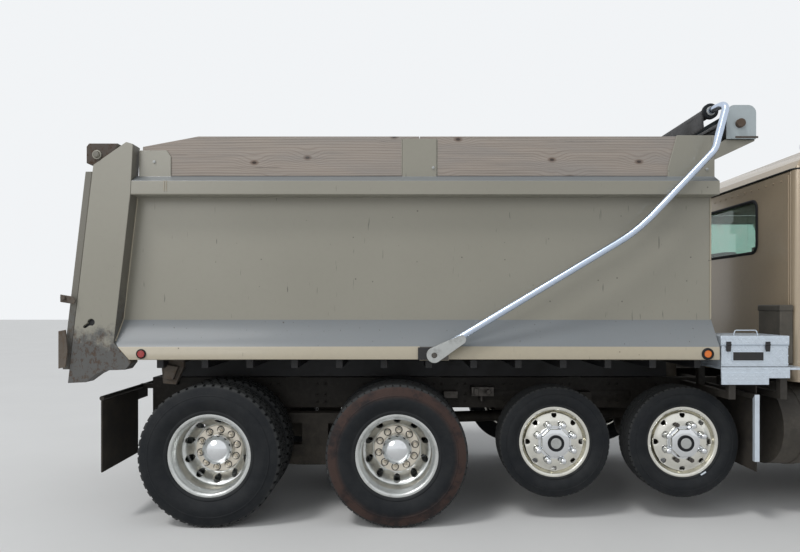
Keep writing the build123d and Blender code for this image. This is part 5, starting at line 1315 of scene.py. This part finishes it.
class TRUCK_OT_tarp(bpy.types.Operator):
    """Tarp arms, bar, housing and rolled cloth"""

    bl_idname = "truck.tarp"
    bl_label = "Tarp"

    def execute(self, context):
        dressed("tarp_housing", "bed_taupe", ["Housing Paint", "Rusty Casting"], 0.002, boss_choice)
        finishes = ["Brushed Aluminium", "Grey Casting"]
        dressed("tarp_arms", "aluminium", finishes, 0.002, lambda p, n: int(p.x < -1.1), angle=40)
        # The cloth is wound on its roller in the housing, and its free end on the bar
        wound, angle = [], 0.0
        while angle < math.tau * ROLL_TURNS:
            reach = 0.028 + 0.0036 * angle / math.tau
            wound.append((ROLLER[0] + reach * math.cos(angle), ROLLER[1] + reach * math.sin(angle)))
            angle += math.tau / 30
        rolled = ("tarp_roll_cloth", "dump_bed", ("tarp_roll",), "folded", ["tarp_housing"])
        self.cloth(wound, ROLL_HALF, 12, 0.0, *rolled)
        bar = Shape().rod((ROLLER[0], -1.149, ROLLER[1]), (ROLLER[0], 1.149, ROLLER[1]), 0.024, 24)
        piece(bar, "tarp_roller", "dump_bed", "aluminium", "Dark Steel")
        flap = []
        for step in range(58):
            angle = math.tau * step / 24
            reach = 0.033 + 0.0028 * angle / math.tau
            flap.append((BAR[0] + reach * math.cos(angle + 0.26), BAR[1] + reach * math.sin(angle + 0.26)))
        x, z = flap[-1]
        flap += [(x - 0.002 * i + 0.0012 * i * i / 4, z - 0.018 * i) for i in range(1, 9)]
        hanging = ("tarp_flap_cloth", "tarp_arms", ("tarp_sleeve",), "hung", ["tarp_arms"])
        self.cloth(flap, FLAP_HALF, 60, 0.006, *hanging)
        stains = Shape().box((0.66, 0.826), (-1.1895, -1.186), (2.848, 2.862)).mirror()
        piece(stains, "housing_rust_seams", "dump_bed", *RUSTY)
        centre = (BAR[0], 0, BAR[1])
        section = [(1.058, 0.024), (1.058, 0.055), (1.063, 0.058), (1.086, 0.058), (1.09, 0.054)]
        ends = Shape().lathe([*section, (1.09, 0.024)], centre, 40).mirror()
        piece(ends, "tarp_bar_ends", "tarp_arms", *SEAL, angle=40)
        section = [(1.0895, 0.022), (1.0895, 0.034), (1.094, 0.032), (1.094, 0.022)]
        hubs = Shape().lathe(section, centre, 32).mirror()
        piece(hubs, "tarp_bar_hubs", "tarp_arms", "aluminium", "Grey Casting", angle=40)
        return {"FINISHED"}

    def cloth(self, line, half, columns, sway, name, body, stands_for, held, rests_on):
        """A cloth along a line of (x, z) points, with soft waves near its free edge."""
        places = [0.0]
        for before, after in zip(line, line[1:]):
            places.append(places[-1] + math.dist(before, after))
        points, faces, flat = [], [], []
        for row, (x, z) in enumerate(line):
            loose = sway * max(0.0, 1 - (places[-1] - places[row]) / 0.15)
            for column in range(columns + 1):
                y = half * (2 * column / columns - 1)
                wave = math.sin(y * 13) + 0.6 * math.sin(y * 29 + 1)
                points.append((x + loose * wave, y, z + 0.3 * loose * math.sin(y * 7)))
                flat.append((y, places[row]))
                a = row * (columns + 1) + column
                if column < columns and row < len(line) - 1:
                    faces.append((a, a + 1, a + columns + 2, a + columns + 1))
        mesh = bpy.data.meshes.new(name)
        mesh.from_pydata(points, [], faces)
        layer = mesh.uv_layers.new(name="cloth")
        layer.data.foreach_set("uv", [value for loop in mesh.loops for value in flat[loop.vertex_index]])
        give_looks(mesh, "Tarp Cloth")
        obj = settle(mesh, name, body, stands_for, angle=80)
        wall = obj.modifiers.new("Cloth Wall", "SOLIDIFY")
        wall.thickness = 0.0012
        wall.offset = 0
        2 * half


# Chassis

DARK_NODES = (
    "frame_rails", "front_axle", "drive_axles", "rear_suspension", "lift_axles", "engine_block",
    "knuckle_left", "knuckle_right",
)


class TRUCK_OT_chassis(bpy.types.Operator):
    """Frame, axles, springs, hoist and engine"""

    bl_idname = "truck.chassis"
    bl_label = "Chassis"

    def execute(self, context):
        for node in DARK_NODES:
            dressed(node, *BLACK)
        dressed("hoist_barrel", "chassis_black", "Hoist Paint", 0.002)
        for number in (1, 2, 3):
            dressed(f"hoist_stage_{number}", *CHROME, 0.002)
        tanks, along = Shape(), (1, 0, 0)
        dome = [(0.04 - 0.04 * math.cos(t), 0.11 * math.sin(t)) for t in quarter(6)]
        shell = dome + [(0.56 - a, r) for a, r in reversed(dome)]
        for x, y, z in ((-0.35, 0.33, 0.86), (-1.15, 0.33, 0.86), (1.3, 0.25, 0.62)):
            tanks.disc(shell, (x, -y, z), 32, axis=along).disc(shell, (x, y, z), 32, axis=along)
        pot = [(0, 0), (0, 0.07), (0.03, 0.085), (0.075, 0.088), (0.08, 0.094), (0.092, 0.094)]
        pot += [(0.097, 0.088), (0.17, 0.08), (0.19, 0.05), (0.19, 0)]
        for x in DRIVE_X:
            for y in (-0.62, 0.62):
                tanks.disc(pot, (x + 0.19, y, 0.58), 28, axis=(0.96, 0, 0.28))
                tanks.rod((x + 0.03, y, 0.54), (x + 0.2, y, 0.585), 0.014, 10)
        piece(tanks, "air_tanks", "chassis", *BLACK, angle=40)
        valves = Shape().box((-1.19, -1.0), (-0.53, -0.44), (0.86, 0.94))
        valves.box((-1.17, -1.13), (-0.545, -0.53), (0.87, 0.93))
        valves.box((-1.42, -1.3), (-0.5, -0.445), (0.84, 0.9))
        valves.rod((-1.05, -0.53, 0.9), (-1.05, -0.56, 0.9), 0.022, 16)
        valves.rod((-1.1, -0.485, 0.86), (-1.1, -0.485, 0.81), 0.016, 12)
        piece(valves, "valve_block", "chassis", "aluminium", "Dark Steel", bevel=0.004)
        points = []
        for x in (-2.9, -2.5, -2.1, -1.5, -1.3, -0.9, -0.4, 0.0, 0.4, 0.8):
            places = [(x + dx, z) for dx in (0, 0.07) for z in (0.8, 0.86, 0.95)]
            points += [((a, side * 0.43, z), (0, side, 0)) for a, z in places for side in (-1, 1)]
        radius = context.scene.truck_sizes.bolt_radius
        heads(points, "frame_bolts", "chassis", *BLACK, radius, 0.012)
        return {"FINISHED"}


# Cab and hood

# Face of the back wall and of the doors
BACK_X = 1.211
DOOR_Y = 1.0205


class TRUCK_OT_cab(bpy.types.Operator):
    """Cab shell, doors, glass, seats, dash and outside fittings"""

    bl_idname = "truck.cab"
    bl_label = "Cab"

    def execute(self, context):
        dressed("cab_shell", *BRONZE)
        dressed("cab_interior", "seat_trim", "Cab Trim", 0.01)
        plain("cab_glass", "Window Glass")
        for side, _ in SIDES:
            dressed(f"door_{side}", *BRONZE)
            plain(f"door_glass_{side}", "Window Glass")
        self.seals()
        self.panels(context.scene.truck_sizes)
        self.outside()
        return {"FINISHED"}

    def seals(self):
        """Rubber round the windows and along the roof's seam."""
        seals = Shape()
        window = [(1.209, -0.53, 2.07), (1.209, -0.53, 2.51), (1.209, 0.53, 2.51), (1.209, 0.53, 2.07)]
        seals.tube(rounded_ring(window, 0.07), 0.013, 8)
        foot, top = Vector((2.5, 0, 2.01)), Vector((2.2, 0, 2.685))
        along, out = (top - foot).normalized() * 0.055, Vector((0.914, 0, 0.406)) * 0.002
        low, high = foot + along + out, top - along + out
        ends = ((low, -0.86), (high, -0.86), (high, 0.86), (low, 0.86))
        screen = [(end.x, y, end.z) for end, y in ends]
        seals.tube(rounded_ring(screen, 0.06), 0.012, 8)
        seam = [(2.13, -1.017), (BACK_X, -1.017), (BACK_X, 1.017), (2.13, 1.017)]
        seals.tube(rounded_path([(x, y, 2.668) for x, y in seam], 0.07), 0.008, 8)
        piece(seals, "cab_seals", "chassis", *SEAL, angle=50)
        for name, side in SIDES:
            ring = [(1.6, 1.93), (1.6, 2.52), (2.23, 2.52), (2.405, 2.01), (2.405, 1.93)]
            door = Shape().tube(rounded_ring([(x, side * DOOR_Y, z) for x, z in ring], 0.03), 0.009, 8)
            body = BODY_OF[f"door_{name}"]
            piece(door, f"door_{name}_seal", body, *SEAL, angle=50)

    def panels(self, sizes):
        """Rivets and seam strips of the back wall, and the cover behind it."""
        wall = [(side * y, 1.2 + 0.085 * i) for i in range(17) for y in (0.9, 0.925) for side in (-1, 1)]
        wall += [(-0.85 + 0.1 * i, 2.6) for i in range(18)]
        points = [((1.21, y, z), (-1, 0, 0)) for y, z in wall]
        heads(points, "cab_rivets", "chassis", *BRONZE, sizes.rivet_radius, 0.004, 10)
        strips = Shape().box((1.206, BACK_X), (-0.94, -0.885), (1.12, 2.63)).mirror()
        piece(strips, "cab_seam_strips", "chassis", *BRONZE, bevel=0.0015)
        cover = Shape().box((1.105, 1.207), (-1.0, -0.72), (1.178, 1.625))
        cover.box((1.1, 1.207), (-1.005, -0.715), (1.58, 1.63))
        piece(cover, "cab_back_cover", "chassis", "chassis_black", "Hoist Paint", bevel=0.01)

    def outside(self):
        """Horn, grab rails, roof lamps, wipers and door handles."""
        bell = [(0, 0), (0, 0.032), (0.06, 0.034), (0.09, 0.02), (0.3, 0.024), (0.4, 0.04), (0.44, 0.062)]
        bell += [(0.445, 0.064), (0.44, 0.058), (0.4, 0.034), (0.3, 0)]
        horn = Shape().disc(bell, (1.57, -0.55, 2.955), 32, axis=(1, 0, 0))
        for x in (1.66, 1.9):
            horn.rod((x, -0.55, 2.85), (x, -0.55, 2.945), 0.011, 12)
        piece(horn, "cab_horns", "chassis", *CHROME, angle=40)
        rails = Shape()
        for side in (-1, 1):
            places = ((1.015, 1.5), (1.075, 1.52), (1.075, 2.28), (1.015, 2.3))
            rail = [(1.46, side * y, z) for y, z in places]
            rails.tube(rounded_path(rail, 0.03), 0.013, 12)
        piece(rails, "cab_grab_rails", "chassis", *CHROME, angle=50)
        lamps, bases = Shape(), Shape()
        turns = (0.4, 0.8, 1.2, 1.57)
        dome = [(0, 0), (0, 0.042), (0.012, 0.041)]
        dome += [(0.012 + 0.03 * math.sin(t), 0.041 * math.cos(t)) for t in turns]
        base = [(-0.012, 0), (-0.012, 0.05), (0.002, 0.05), (0.004, 0.044), (0.004, 0)]
        for y in (-0.66, -0.33, 0, 0.33, 0.66):
            lamps.disc(dome, (2.04, y, 2.858), 24, axis=(-0.05, 0, 1))
            bases.disc(base, (2.04, y, 2.858), 24, axis=(-0.05, 0, 1))
        piece(lamps, "roof_lamps", "chassis", "lamp_plastic", "Amber Lens", angle=40)
        piece(bases, "roof_lamp_bases", "chassis", *CHROME, angle=40)
        wipers = Shape()
        for y in (-0.42, 0.42):
            wipers.rod((2.515, y, 2.02), (2.375, y + 0.12, 2.37), 0.006, 8)
            wipers.tube([(2.43, y - 0.02, 2.22), (2.35, y + 0.14, 2.40), (2.315, y + 0.22, 2.475)], 0.009, 6)
            wipers.rod((2.49, y, 2.0), (2.53, y, 2.03), 0.018, 14)
        piece(wipers, "cab_wipers", "chassis", *SEAL, angle=50)
        for name, side in SIDES:
            pull = Shape()
            path = [(x, side * y, 1.8) for x, y in ((1.6, 1.018), (1.6, 1.052), (1.76, 1.052), (1.76, 1.018))]
            pull.tube(rounded_path(path, 0.012), 0.009, 10)
            pull.box((1.585, 1.775), sorted((side * 1.019, side * 1.024)), (1.775, 1.83))
            body = BODY_OF[f"door_{name}"]
            piece(pull, f"door_{name}_pull", body, *CHROME, angle=50)


class TRUCK_OT_hood(bpy.types.Operator):
    """Hood, grille and headlamps"""

    bl_idname = "truck.hood"
    bl_label = "Hood"

    def execute(self, context):
        dressed("hood_shell", *BRONZE, 0.004)
        dressed("grille", *CHROME, 0.002)
        dressed("headlamps", "lamp_plastic", "Clear Lens", 0.004)
        dressed("front_bumper", *CHROME, 0.01)
        return {"FINISHED"}


# Fittings


def deck_choice(place, normal):
    """Tread plate, dark bracket or pale flap post."""
    if 0.78 < place.x < 0.84 and abs(place.y) > 1.16 and place.z < 0.95:
        return 2
    near = min(abs(place.x - 0.63), abs(place.x - 1.005)) < 0.027
    return int(near and place.z < 1.158 and abs(place.y) < 1.201 or place.z < 1.0)


class TRUCK_OT_fittings(bpy.types.Operator):
    """Tanks, decks, tool box, exhaust, lamps and flaps"""

    bl_idname = "truck.fittings"
    bl_label = "Fittings"

    def execute(self, context):
        dressed("fuel_tanks", *BLACK)
        finishes = ["Tread Plate Aluminium", "Chassis Paint", "White Aluminium"]
        dressed("side_decks", "aluminium", finishes, 0.002, deck_choice)
        dressed("tool_box", "aluminium", "Tread Plate Aluminium", 0.006)
        self.box_fittings()
        dressed("exhaust_stack", *CHROME)
        dressed("mud_flaps", "black_rubber", "Muddy Rubber", 0.002)
        finishes = ["Amber Lens", "Red Lens"]
        dressed("bed_lamps", "lamp_plastic", finishes, 0.004, lambda p, n: int(p.x < -2))
        dressed("tail_lamps", "lamp_plastic", "Red Lens", 0.004)
        return {"FINISHED"}

    def box_fittings(self):
        """The tool box's latches, bare plate, lid bail and rivets."""
        dark = Shape()
        for x in (0.6, 0.885):
            dark.box((x - 0.017, x + 0.017), (-1.212, -1.2055), (1.318, 1.362))
            outline = [(x - 0.013, 1.29), (x + 0.013, 1.29), (x + 0.016, 1.33), (x - 0.016, 1.33)]
            dark.prism(outline, (-1.214, -1.1995))
            dark.rod((x - 0.018, -1.212, 1.34), (x + 0.018, -1.212, 1.34), 0.005, 10)
        dark.box((0.55, 1.04), (-1.2075, -1.19), (1.17, 1.179))
        piece(dark, "tool_box_latches", "chassis", *DARK, bevel=0.0015)
        plate = Shape().box((0.632, 0.858), (-1.2035, -1.1995), (1.222, 1.287))
        piece(plate, "tool_box_plate", "chassis", *DARK, bevel=0.0015)
        rim, y = Shape(), -1.2035
        for z in (1.2215, 1.2875):
            rim.rod((0.63, y, z), (0.86, y, z), 0.003, 8)
        for x in (0.6315, 0.8585):
            rim.rod((x, y, 1.221), (x, y, 1.288), 0.003, 8)
        bail = [(x, -1.09, z) for x, z in ((0.7, 1.402), (0.71, 1.44), (0.87, 1.44), (0.88, 1.402))]
        rim.tube(rounded_path(bail, 0.015, 0.3), 0.004, 8)
        piece(rim, "tool_box_trim", "chassis", *WHITE)
        points = [((x, -1.206, z), (0, -1, 0)) for x in (0.556, 1.03) for z in (1.2, 1.26, 1.32)]
        points += [((0.56 + 0.06 * i, -1.21, 1.166), (0, -1, 0)) for i in range(8)]
        heads(points, "tool_box_rivets", "chassis", *WHITE, 0.005, 0.003, 10)


# Stage

HORIZON_SHIFT = 0.036
EYE = (-1.79, -5.57, 1.63)
LENS, SENSOR = 27, 36
FLOOR_HALF = 60


def add_lamp(name, kind, place, aim, **settings):
    """A lamp that shines along its aim."""
    data = bpy.data.lights.new(name, kind)
    for setting, value in settings.items():
        setattr(data, setting, value)
    obj = bpy.data.objects.new(name, data)
    obj.location = place
    obj.rotation_euler = Vector(aim).to_track_quat("-Z", "Y").to_euler()
    bpy.context.scene.collection.objects.link(obj)


class TRUCK_OT_stage(bpy.types.Operator):
    """Floor, lamps, world and camera"""

    bl_idname = "truck.stage"
    bl_label = "Stage"

    def execute(self, context):
        scene = context.scene
        mesh = bpy.data.meshes.new("floor")
        outline = [(-1, -1), (1, -1), (1, 1), (-1, 1)]
        mesh.from_pydata([(x * FLOOR_HALF, y * FLOOR_HALF, 0) for x, y in outline], [], [(0, 1, 2, 3)])
        give_looks(mesh, "Pale Floor")
        floor = bpy.data.objects.new("floor", mesh)
        scene.collection.objects.link(floor)
        scene.world = bpy.data.worlds.new("Pale Studio")
        scene.world.use_nodes = True
        net = Net(scene.world.node_tree)
        path = net.all("ShaderNodeLightPath")
        seen = net.maths("MAXIMUM", path["Is Glossy Ray"], path["Is Transmission Ray"])
        seen = net.maths("MAXIMUM", path["Is Camera Ray"], seen)
        dim = net.one("ShaderNodeBackground", {"Color": (0.93, 0.96, 1.0), "Strength": 0.6})
        bright = net.one("ShaderNodeBackground", {"Color": (0.93, 0.95, 0.97), "Strength": 0.95})
        both = net.one("ShaderNodeMixShader", {0: seen, 1: dim, 2: bright})
        net.node("ShaderNodeOutputWorld", {"Surface": both})
        add_lamp("high_sun", "SUN", ORIGIN, (0.45, 0.42, -1.0), energy=1.1, angle=math.radians(12))
        add_lamp("soft_side", "AREA", (-9, -12, 8), (8, 12, -6.6), shape="DISK", size=7, energy=470)
        camera = bpy.data.cameras.new("camera")
        camera.lens = LENS
        camera.sensor_width = SENSOR
        camera.shift_y = HORIZON_SHIFT
        eye = bpy.data.objects.new("camera", camera)
        eye.location = EYE
        eye.rotation_euler = (math.pi / 2, 0, 0)
        scene.collection.objects.link(eye)
        scene.camera = eye
        scene.view_settings.view_transform = "Standard"
        return {"FINISHED"}


STEPS = (
    TRUCK_OT_stage,
    TRUCK_OT_tyres,
    TRUCK_OT_wheels,
    TRUCK_OT_bed,
    TRUCK_OT_boards,
    TRUCK_OT_tailgate,
    TRUCK_OT_tarp,
    TRUCK_OT_chassis,
    TRUCK_OT_cab,
    TRUCK_OT_hood,
    TRUCK_OT_fittings,
)


class TRUCK_PT_panel(bpy.types.Panel):
    """Lists the settings and the steps that dress the truck"""

    bl_idname = "TRUCK_PT_panel"
    bl_label = "Dump Truck"
    bl_space_type = "VIEW_3D"
    bl_region_type = "UI"
    bl_category = "Dump Truck"

    def draw(self, context):
        for settings in (context.scene.truck_colours, context.scene.truck_sizes):
            for name in settings.__annotations__:
                self.layout.prop(settings, name)
        for step in STEPS:
            self.layout.operator(step.bl_idname)


CLASSES = (TruckColours, TruckSizes, *STEPS, TRUCK_PT_panel)


def register():
    """Registers the classes and settings."""
    for item in CLASSES:
        bpy.utils.register_class(item)
    bpy.types.Scene.truck_colours = PointerProperty(type=TruckColours)
    bpy.types.Scene.truck_sizes = PointerProperty(type=TruckSizes)


def unregister():
    """Removes the classes and settings."""
    del bpy.types.Scene.truck_colours
    del bpy.types.Scene.truck_sizes
    for item in reversed(CLASSES):
        bpy.utils.unregister_class(item)


def main():
    """Dresses the whole truck."""
    register()
    for step in STEPS:
        group_name, name = step.bl_idname.split(".")
        getattr(getattr(bpy.ops, group_name), name)()


if __name__ == "__main__":
    main()
